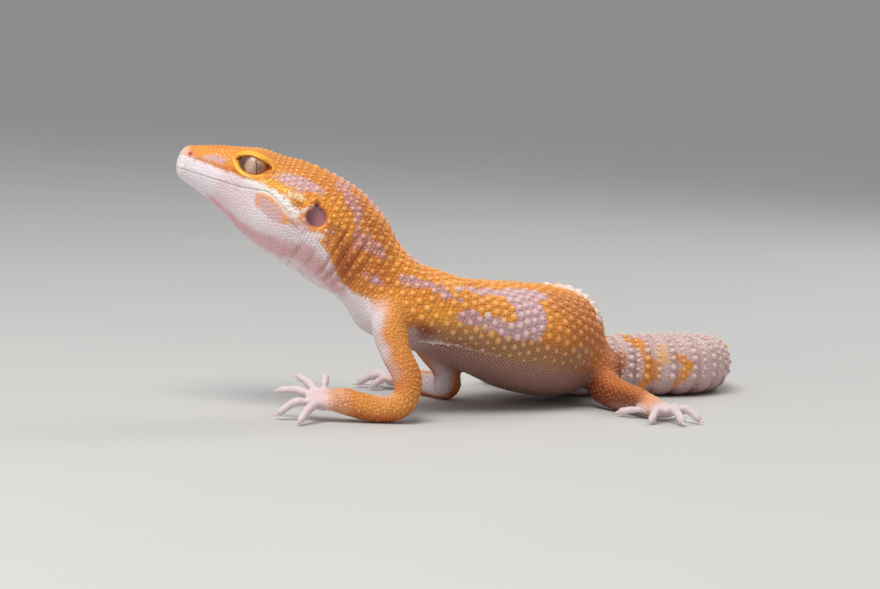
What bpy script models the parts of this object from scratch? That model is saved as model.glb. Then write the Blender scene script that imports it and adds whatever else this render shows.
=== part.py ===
"""Leopard gecko at life size, standing on its four feet with the head raised.

The animal faces -X and its left side is towards -Y; +Z is up and the floor is z = 0.
Body, neck and tail are one loft along the spine, parted by thin cuts. Legs and toes
are tapered tubes. The outline reaches the tips of the skin's tubercles.
Sizes in this file are millimetres; meshes are written in metres.
"""
import math

import bmesh
import bpy
import numpy as np
from mathutils import Matrix

MM = 0.001
CUT = 0.3                       # gap between neighbouring pieces
ORIGIN = (5.4, 29.1, 0.0)       # centre of the animal's footprint in the sizes below

# Head, measured back from the snout and up from the axis of the head
SNOUT = np.array([-49.8, 0.0, 44.6])
HEAD_PITCH = math.radians(12.2)
NOSE_LENGTH = 2.2
HEAD_SECTIONS = (               # back, top, widest level, underside, half width
    (2.2, 4.0, 0.4, -2.9, 3.6),
    (6.8, 5.3, 0.0, -4.7, 5.6),
    (11.0, 6.0, -0.6, -6.9, 7.2),
    (15.0, 6.6, -1.4, -9.4, 8.7),
    (19.0, 6.5, -2.4, -11.2, 10.1),
    (23.0, 6.6, -3.2, -12.6, 10.8),
)
# Neck, trunk and tail: x, y, z of the middle, half height, half width, lean in degrees
NECK_SECTIONS = (
    (-24.3, 0.0, 35.3, 9.7, 10.4, 24),
    (-19.4, 0.3, 32.3, 9.8, 9.3, 27),
    (-15.1, 0.6, 29.0, 8.8, 8.1, 31),
    (-12.7, 1.0, 25.7, 7.9, 7.8, 36),
    (-9.7, 1.9, 22.2, 8.3, 8.6, 38),
)
TRUNK_SECTIONS = (
    (-4.3, 4.3, 19.8, 8.1, 9.9, 28),
    (1.6, 9.0, 17.6, 8.1, 11.0, 20),
    (8.3, 15.0, 15.4, 9.2, 12.2, 12),
    (14.8, 21.2, 13.4, 10.6, 12.9, 6),
    (20.2, 28.3, 12.1, 11.0, 12.4, 2),
    (24.3, 35.6, 11.5, 10.5, 9.8, 0),
)
TAIL_WIDTHS = (                 # x, y, half width; the tail lies on the floor
    (27.6, 40.6, 7.6),
    (31.4, 43.8, 6.8),
    (37.2, 46.0, 6.9),
    (44.2, 47.8, 7.0),
    (50.6, 52.2, 6.9),
    (54.2, 60.0, 6.4),
    (53.4, 68.8, 5.5),
    (47.8, 75.8, 4.5),
    (39.4, 79.0, 3.3),
    (30.6, 78.0, 1.7),
)
TAIL_HEIGHT = 0.92              # tail height over its width
TAIL_TIP = 1.2
FLOOR_DIP = 0.25                # how far the tail's round section is flattened below
WHORL = 4.0                     # length of one ring of tail scales
WHORL_DEPTH = 0.035             # groove between rings, as a share of the radius
SQUARENESS = 2.25               # superellipse power of a body section

HEAD_SIDES = 32
TRUNK_SIDES = 26
TAIL_SIDES = 16

# Where the body is parted, as lengths along the spine from the first head section
HEAD_END = 29.6
NECK_END = 46.5
SHOULDER_END = 64.0
BELLY_END = 81.0
TRUNK_END = 97.5
TAIL_CUTS = (115.0, 134.0, 153.0)

# Features of the head: back, out from the middle, up
EYE = (14.2, 4.8, 2.8)
EYE_RADIUS = 3.0
LIDS = (14.4, 4.8, 3.2)
EYE_OPENING = (2.7, 1.8)        # half length and half height between the lids
EYE_TILT = math.radians(-7)
BROW = (14.0, 6.6, 4.6)
BROW_RISE = 1.45
BROW_SPREAD = 4.0
EAR = (27.6, 9.3, -2.2)
EAR_RADIUS = 2.1
EAR_DEPTH = 2.3
NOSTRIL = (2.3, 3.05, 2.5)
NOSTRIL_RADIUS = 0.45
MOUTH = (                       # line between the lips: back, up
    (-4.0, -0.5), (4.4, -0.5), (8.5, -1.05), (12.0, -1.3), (15.1, -1.1),
    (17.7, -0.9), (19.9, -1.9), (22.2, -2.95),
)
CHIN_DEPTH = -22.0

# Legs: x, y, z, radius from inside the trunk to the wrist or ankle
LEFT_ARM = (
    (-7.0, 1.0, 21.5, 4.2), (-9.2, -5.4, 18.4, 4.0), (-7.6, -8.6, 13.0, 3.3),
    (-5.5, -11.0, 7.4, 2.8), (-5.2, -12.1, 3.3, 2.75), (-9.9, -12.9, 2.6, 2.6),
    (-14.0, -13.6, 3.2, 2.35), (-17.4, -14.0, 3.7, 2.0),
)
RIGHT_ARM = (
    (-5.0, 6.0, 20.5, 4.2), (-4.4, 13.2, 16.4, 3.9), (-1.2, 17.8, 11.0, 3.2),
    (2.0, 21.2, 6.0, 2.8), (2.2, 23.4, 2.9, 2.7), (-0.4, 27.2, 2.4, 2.5),
    (-2.8, 30.4, 2.3, 2.3), (-5.2, 33.2, 2.2, 2.0),
)
LEFT_LEG = (
    (25.0, 37.0, 9.6, 4.8), (29.3, 33.0, 8.6, 4.9), (31.8, 28.6, 7.0, 4.3),
    (32.4, 24.4, 4.4, 3.5), (35.2, 19.2, 3.1, 3.0), (38.4, 14.6, 2.8, 2.5),
    (41.0, 11.0, 2.3, 2.1),
)
RIGHT_LEG = (
    (22.0, 39.0, 9.4, 4.8), (16.6, 43.0, 8.4, 4.8), (13.4, 47.0, 7.0, 4.2),
    (12.2, 51.4, 4.4, 3.5), (14.4, 56.4, 3.1, 3.0), (17.4, 60.6, 2.6, 2.5),
    (20.2, 63.6, 2.2, 2.1),
)
# Feet: middle of the sole, its half sizes, then the tip and the knuckle's lift of each toe
LEFT_HAND = dict(
    palm=(-20.8, -14.4, 3.6), size=(3.5, 3.1, 1.7), roll=30,
    toes=((-20.2, -10.6, 7.9, 0.4), (-25.3, -9.6, 7.4, 0.6), (-28.8, -11.4, 4.8, 0.8),
          (-28.4, -15.8, 1.0, 1.2), (-24.0, -22.6, 0.75, 0.9)))
RIGHT_HAND = dict(
    palm=(-7.6, 35.8, 2.0), size=(3.4, 3.1, 1.7), roll=0,
    toes=((-12.6, 31.8, 0.75, 0.8), (-15.6, 35.6, 0.75, 1.2), (-14.8, 40.6, 0.75, 1.3),
          (-10.4, 43.6, 0.75, 1.2), (-4.8, 42.8, 0.75, 0.9)))
LEFT_FOOT = dict(
    palm=(43.0, 8.6, 2.0), size=(3.4, 3.3, 1.7), roll=0,
    toes=((34.8, 11.4, 0.8, 0.4), (40.4, 1.4, 0.75, 1.0), (46.4, 0.6, 0.75, 1.3),
          (50.0, 5.0, 0.75, 1.4), (47.4, 14.6, 0.75, 0.9)))
RIGHT_FOOT = dict(
    palm=(22.4, 66.0, 1.9), size=(3.3, 3.3, 1.6), roll=0,
    toes=((15.2, 63.9, 0.75, 0.6), (14.2, 68.6, 0.75, 1.1), (17.4, 73.0, 0.75, 1.3),
          (22.8, 75.0, 0.75, 1.3), (28.0, 71.2, 0.75, 0.9)))
TOE_ROOT_RADIUS = 1.1
TOE_TIP_RADIUS = 0.72
CLAW_LENGTH = 1.3
CLAW_RADIUS = 0.42
CLAW_DROOP = 0.25
CLAW_FLOOR = 0.15

COLOURS = {                     # red, green, blue, roughness
    "orange": (0.86, 0.45, 0.10, 0.55),
    "pale skin": (0.86, 0.72, 0.70, 0.55),
    "golden": (0.88, 0.58, 0.20, 0.55),
    "lilac": (0.80, 0.64, 0.66, 0.55),
    "eye": (0.42, 0.27, 0.22, 0.12),
    "eardrum": (0.60, 0.34, 0.35, 0.35),
    "claw": (0.90, 0.80, 0.62, 0.35),
}


def collection(name):
    """A new collection under the scene."""
    group = bpy.data.collections.new(name)
    bpy.context.scene.collection.children.link(group)
    return group


def material(finish):
    """The Principled material of one finish."""
    found = bpy.data.materials.get(finish)
    if found:
        return found
    red, green, blue, roughness = COLOURS[finish]
    made = bpy.data.materials.new(finish)
    made.use_nodes = True
    shader = made.node_tree.nodes["Principled BSDF"]
    shader.inputs["Base Color"].default_value = (red, green, blue, 1.0)
    shader.inputs["Roughness"].default_value = roughness
    shader.inputs["Metallic"].default_value = 0.0
    return made


def add_object(name, mesh, finish, group):
    """Link a mesh as a named, smooth shaded object of one finish."""
    piece = bpy.data.objects.new(name, mesh)
    group.objects.link(piece)
    mesh.materials.clear()
    mesh.materials.append(material(finish))
    mesh.shade_smooth()
    mesh.set_sharp_from_angle(angle=math.radians(40))
    return piece


def to_model(points):
    """Millimetres of the size lists to metres about the origin."""
    return (np.asarray(points, float) - ORIGIN) * MM


def smooth(knots, values, at):
    """Hermite curve through values at knots, with slopes from the neighbours."""
    slopes = np.gradient(values, knots, axis=0)
    left = np.clip(np.searchsorted(knots, at, side="right") - 1, 0, len(knots) - 2)
    span = (knots[left + 1] - knots[left])[:, None]
    t = (at[:, None] - knots[left][:, None]) / span
    start, end = values[left], values[left + 1]
    return ((2 * t**3 - 3 * t**2 + 1) * start + (t**3 - 2 * t**2 + t) * span * slopes[left]
            + (3 * t**2 - 2 * t**3) * end + (t**3 - t**2) * span * slopes[left + 1])


def head_point(back, out, up):
    """A point of the head in the animal's millimetres; out is towards +Y."""
    cos, sin = math.cos(HEAD_PITCH), math.sin(HEAD_PITCH)
    offset = np.stack(np.broadcast_arrays(back * cos + up * sin, out, up * cos - back * sin), -1)
    return SNOUT + offset


def head_local(points):
    """The inverse of head_point: back, out, up of points."""
    cos, sin = math.cos(HEAD_PITCH), math.sin(HEAD_PITCH)
    offset = points - SNOUT
    x, y, z = offset[..., 0], offset[..., 1], offset[..., 2]
    return np.stack((x * cos - z * sin, y, x * sin + z * cos), -1)


def body_stations():
    """All sections as rows of x, y, z, height above, depth below, half width, lean."""
    rows = []
    for back, top, level, bottom, width in HEAD_SECTIONS:
        centre = head_point(back, 0.0, level)
        rows.append((*centre, top - level, level - bottom, width, math.degrees(HEAD_PITCH)))
    for x, y, z, height, width, lean in NECK_SECTIONS + TRUNK_SECTIONS:
        rows.append((x, y, z, height, height, width, lean))
    for x, y, width in TAIL_WIDTHS:
        height = width * TAIL_HEIGHT
        rows.append((x, y, height - FLOOR_DIP, height, height, width, 0.0))
    return np.array(rows)


STATIONS = body_stations()
STEPS = np.linalg.norm(np.diff(STATIONS[:, :3], axis=0), axis=1)
KNOTS = np.concatenate(([0.0], np.cumsum(STEPS)))
SPINE_LENGTH = KNOTS[-1]


def dome(at):
    """How far a section has closed beyond the first and the last station."""
    before = np.clip(-at / NOSE_LENGTH, 0.0, 1.0)
    beyond = np.clip((at - SPINE_LENGTH) / TAIL_TIP, 0.0, 1.0)
    return np.sqrt(1.0 - np.maximum(before, beyond)**2)


def whorls(at):
    """Share of the radius left at each length: the tail is grooved between its rings."""
    start = KNOTS[-len(TAIL_WIDTHS)]
    wave = 0.5 - 0.5 * np.cos(2 * math.pi * (at - start) / WHORL)
    return np.where(at > start, 1.0 - WHORL_DEPTH * (1.0 - wave), 1.0)


def body_rings(at, sides, swell=0.0):
    """Rings of points round the spine at the lengths given, grown outwards by swell."""
    inside = np.clip(at, 0.0, SPINE_LENGTH)
    row = smooth(KNOTS, STATIONS, inside)
    ahead = smooth(KNOTS, STATIONS[:, :3], np.clip(inside + 0.2, 0.0, SPINE_LENGTH))
    behind = smooth(KNOTS, STATIONS[:, :3], np.clip(inside - 0.2, 0.0, SPINE_LENGTH))
    along = ahead - behind
    along /= np.linalg.norm(along, axis=1)[:, None]
    centre = row[:, :3] + along * (at - inside)[:, None]
    heading = np.arctan2(along[:, 1], along[:, 0])
    lean = np.radians(row[:, 6])
    side = np.stack((-np.sin(heading), np.cos(heading), 0 * heading), -1)
    rise = np.stack((np.sin(lean) * np.cos(heading), np.sin(lean) * np.sin(heading),
                     np.cos(lean)), -1)
    turn = np.linspace(0.0, 2 * math.pi, sides, endpoint=False)
    cos, sin = np.cos(turn), np.sin(turn)
    out = np.sign(cos) * np.abs(cos)**(2 / SQUARENESS)
    up = np.sign(sin) * np.abs(sin)**(2 / SQUARENESS)
    scale = (dome(at) * whorls(at))[:, None]
    height = np.where(up > 0, row[:, 3:4], row[:, 4:5]) * scale + swell
    width = row[:, 5:6] * scale + swell
    points = (centre[:, None] + (width * out)[..., None] * side[:, None]
              + (height * up)[..., None] * rise[:, None])
    points += brow_relief(points)
    points[..., 2] = np.maximum(points[..., 2], -swell)
    return points


def brow_relief(points):
    """Swelling of the head over each eye, a rounded hill pushed outwards."""
    local = head_local(points)
    mirrored = local * (1, 0, 1) + np.abs(local) * (0, 1, 0)
    distance = np.linalg.norm(mirrored - BROW, axis=-1)
    rise = BROW_RISE * np.exp(-(distance / BROW_SPREAD)**2)
    sign = np.sign(local[..., 1])
    return np.stack((0 * rise, 0.8 * rise * sign, 0.8 * rise), -1)


def loft(name, rings):
    """A closed mesh through rings of equal count, with a flat cap at each end."""
    count, sides = rings.shape[:2]
    index = np.arange(count * sides).reshape(count, sides)
    after = np.roll(index, -1, axis=1)
    quads = np.stack((index[:-1], index[1:], after[1:], after[:-1]), -1).reshape(-1, 4)
    faces = quads.tolist() + [index[0].tolist(), index[-1][::-1].tolist()]
    mesh = bpy.data.meshes.new(name)
    mesh.from_pydata(to_model(rings.reshape(-1, 3)), [], faces)
    mesh.update()
    close_mesh(mesh)
    return mesh


def close_mesh(mesh):
    """Weld doubles and point all faces outwards."""
    work = bmesh.new()
    work.from_mesh(mesh)
    bmesh.ops.remove_doubles(work, verts=work.verts, dist=0.00002)
    bmesh.ops.recalc_face_normals(work, faces=work.faces)
    work.to_mesh(mesh)
    work.free()


def tube(name, path, sides=8):
    """A round tapered mesh along rows of x, y, z, radius, held above the floor."""
    path = np.asarray(path, float)
    curve = bpy.data.curves.new(name, "CURVE")
    curve.dimensions = "3D"
    curve.bevel_depth = MM
    curve.bevel_resolution = sides // 2 - 2
    curve.use_fill_caps = True
    spline = curve.splines.new("POLY")
    spline.points.add(len(path) - 1)
    for point, place, radius in zip(spline.points, to_model(path[:, :3]), path[:, 3]):
        point.co = (*place, 1.0)
        point.radius = radius
    holder = bpy.data.objects.new(name, curve)
    bpy.context.scene.collection.objects.link(holder)
    mesh = bpy.data.meshes.new_from_object(holder.evaluated_get(bpy.context.evaluated_depsgraph_get()))
    bpy.data.objects.remove(holder)
    bpy.data.curves.remove(curve)
    close_mesh(mesh)
    return mesh


def settle(mesh, floor=0.0):
    """Flatten whatever of a mesh would reach below the floor."""
    for vertex in mesh.vertices:
        vertex.co.z = max(vertex.co.z, floor * MM)
    close_mesh(mesh)


def resample(path, start, end, count):
    """Evenly spaced rows of a smooth path between two shares of its length."""
    path = np.asarray(path, float)
    steps = np.linalg.norm(np.diff(path[:, :3], axis=0), axis=1)
    knots = np.concatenate(([0.0], np.cumsum(steps)))
    return smooth(knots, path, np.linspace(start, end, count) * knots[-1])


def combine(target, mesh, operation, crosses_itself=False):
    """Apply an exact Boolean of a mesh to an object and forget the operand."""
    operand = bpy.data.objects.new("operand", mesh)
    cutters.objects.link(operand)
    operand.hide_render = True
    operand.display_type = "WIRE"
    step = target.modifiers.new(operation.title(), "BOOLEAN")
    step.operation = operation
    step.solver = "EXACT"
    step.use_self = crosses_itself
    step.object = operand
    depsgraph = bpy.context.evaluated_depsgraph_get()
    result = bpy.data.meshes.new_from_object(target.evaluated_get(depsgraph))
    target.modifiers.clear()
    target.data = result
    bpy.data.objects.remove(operand)
    close_mesh(result)


def ball(radius, place, segments, rings, scale=(1, 1, 1), turn=None):
    """A sphere or ellipsoid mesh at a place given in millimetres."""
    mesh = bpy.data.meshes.new("ball")
    work = bmesh.new()
    bmesh.ops.create_uvsphere(work, u_segments=segments, v_segments=rings, radius=radius * MM)
    matrix = (turn or Matrix.Identity(4)) @ Matrix.Diagonal((*scale, 1.0))
    work.transform(Matrix.Translation(to_model(place)) @ matrix)
    work.to_mesh(mesh)
    work.free()
    return mesh


def rod(radii, depth, place, side, tilt=0.0, segments=20):
    """An elliptic rod across the head, centred at a place, pointing to one side."""
    mesh = bpy.data.meshes.new("rod")
    work = bmesh.new()
    bmesh.ops.create_cone(work, cap_ends=True, segments=segments, radius1=MM, radius2=MM,
                          depth=depth * MM)
    lie_down = Matrix.Rotation(math.radians(90), 4, "X")
    shape = Matrix.Diagonal((radii[0], radii[1], 1.0, 1.0))
    pitch = Matrix.Rotation(HEAD_PITCH + tilt, 4, "Y")
    centre = np.asarray(place, float) + (0.0, side * depth / 2, 0.0)
    work.transform(Matrix.Translation(to_model(centre)) @ pitch @ lie_down @ shape)
    work.to_mesh(mesh)
    work.free()
    return mesh


def head_slab(outline):
    """A flat outline given as back and up, drawn through the head from side to side."""
    half = 20.0
    places = np.array([head_point(back, 0.0, up) for back, up in outline])
    left, right = places - (0, half, 0), places + (0, half, 0)
    return loft("slab", np.stack((left, right)))


def mirror_side(feature, side):
    """A head feature's place on the left, side -1, or on the right, side 1."""
    back, out, up = feature
    return head_point(back, side * out, up)


def add_body_length(name, start, end, sides, spacing, finish):
    """One length of the body between two places on the spine."""
    count = max(2, round((end - start) / spacing) + 1)
    rings = body_rings(np.linspace(start, end, count), sides)
    return add_object(name, loft(name, rings), finish, animal)


def whole_head():
    """The closed head from the nose's dome to the cut at the nape."""
    nose = -NOSE_LENGTH * np.cos(np.radians((12, 35, 60)))
    back = np.linspace(0.0, HEAD_END, 15)
    return loft("head", body_rings(np.concatenate((nose, back)), HEAD_SIDES))


def add_head():
    """Head with eye sockets, ear hollows, nostrils and the cut between the lips."""
    head = add_object("head", whole_head(), "orange", animal)
    jaw = add_object("lower_jaw", whole_head(), "pale skin", animal)
    lift = CUT / 2
    end = MOUTH[-1][0]
    upper_lip = [(back, up + lift) for back, up in MOUTH]
    lower_lip = [(back, up - lift) for back, up in MOUTH]
    above = [(end + CUT, upper_lip[-1][1]), (end + CUT, CHIN_DEPTH), (MOUTH[0][0], CHIN_DEPTH)]
    below = [(end, CHIN_DEPTH), (MOUTH[0][0], CHIN_DEPTH)]
    combine(head, head_slab(upper_lip + above), "DIFFERENCE")
    combine(jaw, head_slab(lower_lip + below), "INTERSECT")
    for side in (-1, 1):
        lids = rod(EYE_OPENING, 8.0, mirror_side(LIDS, side), side, EYE_TILT)
        combine(head, lids, "DIFFERENCE")
        socket = ball(EYE_RADIUS + CUT, mirror_side(EYE, side), 14, 8)
        combine(head, socket, "DIFFERENCE")
        drum = mirror_side(EAR, side)
        ear = rod((EAR_RADIUS, EAR_RADIUS), 2 * EAR_DEPTH, drum - (0, side * EAR_DEPTH / 2, 0), side,
                  segments=16)
        combine(head, ear, "DIFFERENCE")
        combine(head, ball(NOSTRIL_RADIUS, mirror_side(NOSTRIL, side), 8, 6), "DIFFERENCE")
    return head


def add_eyes_and_ears():
    """Eyeballs in their sockets and the eardrums at the bottom of the ear hollows."""
    for side, name in ((-1, "left"), (1, "right")):
        eyeball = ball(EYE_RADIUS, mirror_side(EYE, side), 16, 8)
        add_object(f"eye_{name}", eyeball, "eye", animal)
        drum = mirror_side(EAR, side) - (0, side * (EAR_DEPTH / 2 - CUT), 0)
        radius = EAR_RADIUS - CUT
        add_object(f"eardrum_{name}", rod((radius, radius), 0.7, drum, side, segments=16),
                   "eardrum", animal)


def add_trunk_and_tail():
    """Neck, three lengths of trunk and four lengths of tail."""
    add_body_length("neck", HEAD_END + CUT, NECK_END, TRUNK_SIDES, 3.4, "golden")
    add_body_length("trunk_shoulders", NECK_END + CUT, SHOULDER_END, TRUNK_SIDES, 3.4, "golden")
    add_body_length("trunk_belly", SHOULDER_END + CUT, BELLY_END, TRUNK_SIDES, 3.4, "lilac")
    add_body_length("trunk_hips", BELLY_END + CUT, TRUNK_END, TRUNK_SIDES, 3.4, "orange")
    half_whorl = WHORL / 2
    cuts = (TRUNK_END, *TAIL_CUTS)
    names = ("tail_base", "tail_middle", "tail_rear")
    finishes = ("golden", "lilac", "lilac")
    for name, start, end, finish in zip(names, cuts[:-1], cuts[1:], finishes):
        add_body_length(name, start + CUT, end, TAIL_SIDES, half_whorl, finish)
    tip = np.linspace(TAIL_CUTS[-1] + CUT, SPINE_LENGTH, 12)
    closed = SPINE_LENGTH + TAIL_TIP * np.array((0.5, 0.9))
    rings = body_rings(np.concatenate((tip, closed)), TAIL_SIDES)
    add_object("tail_tip", loft("tail_tip", rings), "lilac", animal)


def body_clearance():
    """The whole body grown by the gap, to trim the roots of the legs."""
    return loft("clearance", body_rings(np.linspace(0.0, SPINE_LENGTH, 60), 32, CUT))


def sleeve(rows):
    """A tube grown and lengthened by the gap, to trim whatever follows a length of leg."""
    forward = rows[-1, :3] - rows[-2, :3]
    longer = rows + (0, 0, 0, CUT)
    longer[-1, :3] += forward / np.linalg.norm(forward) * CUT
    return tube("sleeve", longer, 12)


def add_leg(path, bend, names, finishes):
    """The two lengths of a leg, parted at its elbow or knee; returns the end's sleeve."""
    upper = resample(path, 0.0, bend, 8)
    lower = resample(path, bend, 1.0, 7)
    for name, finish, rows in zip(names, finishes, (upper, lower)):
        mesh = tube(name, rows, 12)
        settle(mesh)
        piece = add_object(name, mesh, finish, animal)
        combine(piece, body_clearance(), "DIFFERENCE")
    combine(piece, sleeve(upper), "DIFFERENCE", crosses_itself=True)
    return sleeve(lower)


def toe_path(palm, tip, lift):
    """Rows of a toe from the sole's middle over its knuckle to its tip."""
    root, end = np.array(palm), np.array(tip)
    knuckle = root + (end - root) * 0.6 + (0, 0, lift)
    rows = np.array((
        (*(root + (end - root) * 0.15), TOE_ROOT_RADIUS),
        (*knuckle, (TOE_ROOT_RADIUS + TOE_TIP_RADIUS) / 2),
        (*end, TOE_TIP_RADIUS)))
    return resample(rows, 0.0, 1.0, 4)


def add_foot(name, foot, wrist, finish):
    """A foot: its sole joined to five toes, and a claw beyond each toe."""
    roll = Matrix.Rotation(math.radians(foot["roll"]), 4, "X")
    sole = ball(1.0, foot["palm"], 10, 7, foot["size"], roll)
    piece = add_object(name, sole, finish, animal)
    for number, (*tip, lift) in enumerate(foot["toes"], 1):
        path = toe_path(foot["palm"], tip, lift)
        combine(piece, tube("toe", path), "UNION")
        add_claw(f"{name}_claw_{number}", path)
    settle(piece.data)
    combine(piece, wrist, "DIFFERENCE")


def add_claw(name, toe):
    """A short curved claw that carries on from the end of a toe."""
    tip = toe[-1, :3]
    forward = tip - toe[-2, :3]
    forward[2] = 0.0
    forward /= np.linalg.norm(forward)
    share = np.array((0.0, 0.5, 1.0))[:, None]
    places = tip + forward * (CUT + share * CLAW_LENGTH) - (0, 0, CLAW_DROOP) * share**2
    radii = CLAW_RADIUS * (1.0 - 0.7 * share)
    mesh = tube(name, np.hstack((places, radii)), 6)
    settle(mesh, CLAW_FLOOR)
    add_object(name, mesh, "claw", animal)


def add_legs():
    """Both arms and both hind legs with their feet."""
    limbs = (
        ("left", LEFT_ARM, 0.60, ("upper_arm", "forearm"), "hand", LEFT_HAND),
        ("right", RIGHT_ARM, 0.60, ("upper_arm", "forearm"), "hand", RIGHT_HAND),
        ("left", LEFT_LEG, 0.52, ("thigh", "shank"), "foot", LEFT_FOOT),
        ("right", RIGHT_LEG, 0.52, ("thigh", "shank"), "foot", RIGHT_FOOT),
    )
    for side, path, bend, parts, end, foot in limbs:
        names = [f"{part}_{side}" for part in parts]
        wrist = add_leg(path, bend, names, ("golden", "orange"))
        add_foot(f"{end}_{side}", foot, wrist, "pale skin")


for old in list(bpy.data.objects):
    bpy.data.objects.remove(old, do_unlink=True)
animal = collection("leopard_gecko")
cutters = collection("cutters")
add_head()
add_eyes_and_ears()
add_trunk_and_tail()
add_legs()
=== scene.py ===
# %% [markdown]
# # A leopard gecko in its skin
#
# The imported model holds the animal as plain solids. This lesson lays one skin over them, sets
# eyes, eardrums and claws into it, and covers it with tubercles and grains. Sizes are in
# millimetres, in the frame in which the animal was first drawn: it faces -X, its left side is
# towards -Y, and the floor is z = 0. `to_model` turns them into metres about the part's origin.

# %% Load the solid model
import math

import bpy
import numpy as np
from mathutils import Matrix, Vector
from mathutils.bvhtree import BVHTree
from mathutils.kdtree import KDTree


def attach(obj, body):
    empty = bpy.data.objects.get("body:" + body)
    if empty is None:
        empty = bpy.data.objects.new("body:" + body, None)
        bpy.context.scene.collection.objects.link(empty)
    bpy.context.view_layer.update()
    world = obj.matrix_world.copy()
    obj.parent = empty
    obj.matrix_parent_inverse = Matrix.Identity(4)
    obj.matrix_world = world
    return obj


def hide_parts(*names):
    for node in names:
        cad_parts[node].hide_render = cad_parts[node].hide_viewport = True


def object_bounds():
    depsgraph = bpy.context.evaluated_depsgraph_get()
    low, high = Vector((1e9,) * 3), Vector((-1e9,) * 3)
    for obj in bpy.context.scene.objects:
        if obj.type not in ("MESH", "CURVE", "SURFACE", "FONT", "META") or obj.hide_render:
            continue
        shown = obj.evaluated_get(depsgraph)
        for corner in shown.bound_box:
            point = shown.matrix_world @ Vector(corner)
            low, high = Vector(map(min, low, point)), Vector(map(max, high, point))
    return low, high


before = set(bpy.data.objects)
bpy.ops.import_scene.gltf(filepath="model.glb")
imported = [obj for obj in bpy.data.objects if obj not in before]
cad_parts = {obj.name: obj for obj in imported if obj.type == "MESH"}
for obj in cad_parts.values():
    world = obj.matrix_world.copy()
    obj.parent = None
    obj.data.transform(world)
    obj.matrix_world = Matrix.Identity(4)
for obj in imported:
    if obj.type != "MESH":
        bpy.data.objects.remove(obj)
cad_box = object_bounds()
MM = 0.001
ORIGIN = np.array((5.4, 29.1, 0.0))


def to_model(points):
    """Millimetres of this script to metres: take the origin away, then scale."""
    return (np.asarray(points, float) - ORIGIN) * MM


cad_sides = [round(side / MM, 1) for side in cad_box[1] - cad_box[0]]
print("solid model:", len(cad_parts), "nodes,", cad_sides)

# %% [markdown]
# ## Camera, floor and light
#
# A small animal is best seen through a long lens from its own height. The camera stands a little
# over half a metre away, a few degrees above the floor, and is turned slightly about its axis.
# One large lamp overhead gives the soft light of a studio, a smaller one opens the shadows, and
# a pale sky fills in the rest. Reflections come from the lamps and not from painted highlights.

# %% Camera
CAMERA_DISTANCE = 560.0
CAMERA_RISE = math.radians(5.5)
CAMERA_ROLL = math.radians(2.8)
CAMERA_AIM = np.array((0.0, 0.0, 22.65))
LENS = 123.7
SENSOR = 36.0
NEAREST_SEEN = 0.01             # metres


def add_camera():
    """A camera whose axes are worked out from its rise above the floor and its roll."""
    ahead = np.array((0.0, math.cos(CAMERA_RISE), -math.sin(CAMERA_RISE)))
    level = np.array((1.0, 0.0, 0.0))
    upright = np.cross(level, ahead)
    right = level * math.cos(CAMERA_ROLL) + upright * math.sin(CAMERA_ROLL)
    up = upright * math.cos(CAMERA_ROLL) - level * math.sin(CAMERA_ROLL)
    place = to_model(CAMERA_AIM - ahead * CAMERA_DISTANCE)
    data = bpy.data.cameras.new("camera")
    data.lens = LENS
    data.sensor_width = SENSOR
    data.clip_start = NEAREST_SEEN
    camera = bpy.data.objects.new("camera", data)
    bpy.context.scene.collection.objects.link(camera)
    axes = Matrix((right, up, -ahead)).transposed().to_4x4()
    camera.matrix_world = Matrix.Translation(place) @ axes
    bpy.context.scene.camera = camera


add_camera()
bpy.context.scene.view_settings.view_transform = "Standard"
print("camera", CAMERA_DISTANCE, "mm away with a", LENS, "mm lens")


# %% Lamps and sky
def add_lamp(name, place, size, power, colour):
    """A square lamp at a place in millimetres that shines on the middle of the animal."""
    data = bpy.data.lights.new(name, "AREA")
    data.shape = "SQUARE"
    data.size = size * MM
    data.energy = power
    data.color = colour
    lamp = bpy.data.objects.new(name, data)
    bpy.context.scene.collection.objects.link(lamp)
    towards = Vector(to_model(CAMERA_AIM) - to_model(place))
    lamp.rotation_euler = towards.to_track_quat("-Z", "Y").to_euler()
    lamp.location = to_model(place)


LAMPS = (                       # name, place, side, watts, colour
    ("key_lamp", (-120.0, -260.0, 560.0), 320.0, 2.85, (1.0, 0.97, 0.93)),
    ("fill_lamp", (-420.0, -420.0, 180.0), 300.0, 0.55, (0.93, 0.96, 1.0)),
    ("back_lamp", (330.0, 420.0, 380.0), 260.0, 0.9, (1.0, 0.98, 0.95)),
)
SKY = (0.80, 0.82, 0.86, 1.0)
SKY_STRENGTH = 0.63
for lamp in LAMPS:
    add_lamp(*lamp)
world = bpy.data.worlds.new("studio")
world.use_nodes = True
world.node_tree.nodes["Background"].inputs["Color"].default_value = SKY
world.node_tree.nodes["Background"].inputs["Strength"].default_value = SKY_STRENGTH
bpy.context.scene.world = world
print(len(LAMPS), "lamps and a pale sky")

# %% [markdown]
# ## Shader maths as Python
#
# A material is a graph, but a formula reads better as a formula. `Value` wraps one socket and
# overloads the operators, so that `1 - cells * 0.3` adds its Math nodes by itself. Every other
# node comes from `Finish.node`, which takes the type, its settings and its inputs.

# %% Value and Finish
class Value:
    """One number socket of a material; arithmetic on it adds Math nodes."""

    def __init__(self, finish, socket):
        self.finish = finish
        self.socket = socket

    def combine(self, operation, first, second):
        node = self.finish.node("ShaderNodeMath", {"operation": operation}, {0: first, 1: second})
        return Value(self.finish, node.outputs[0])

    def __add__(self, other):
        return self.combine("ADD", self, other)

    def __sub__(self, other):
        return self.combine("SUBTRACT", self, other)

    def __rsub__(self, other):
        return self.combine("SUBTRACT", other, self)

    def __mul__(self, other):
        return self.combine("MULTIPLY", self, other)

    __radd__ = __add__
    __rmul__ = __mul__


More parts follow.
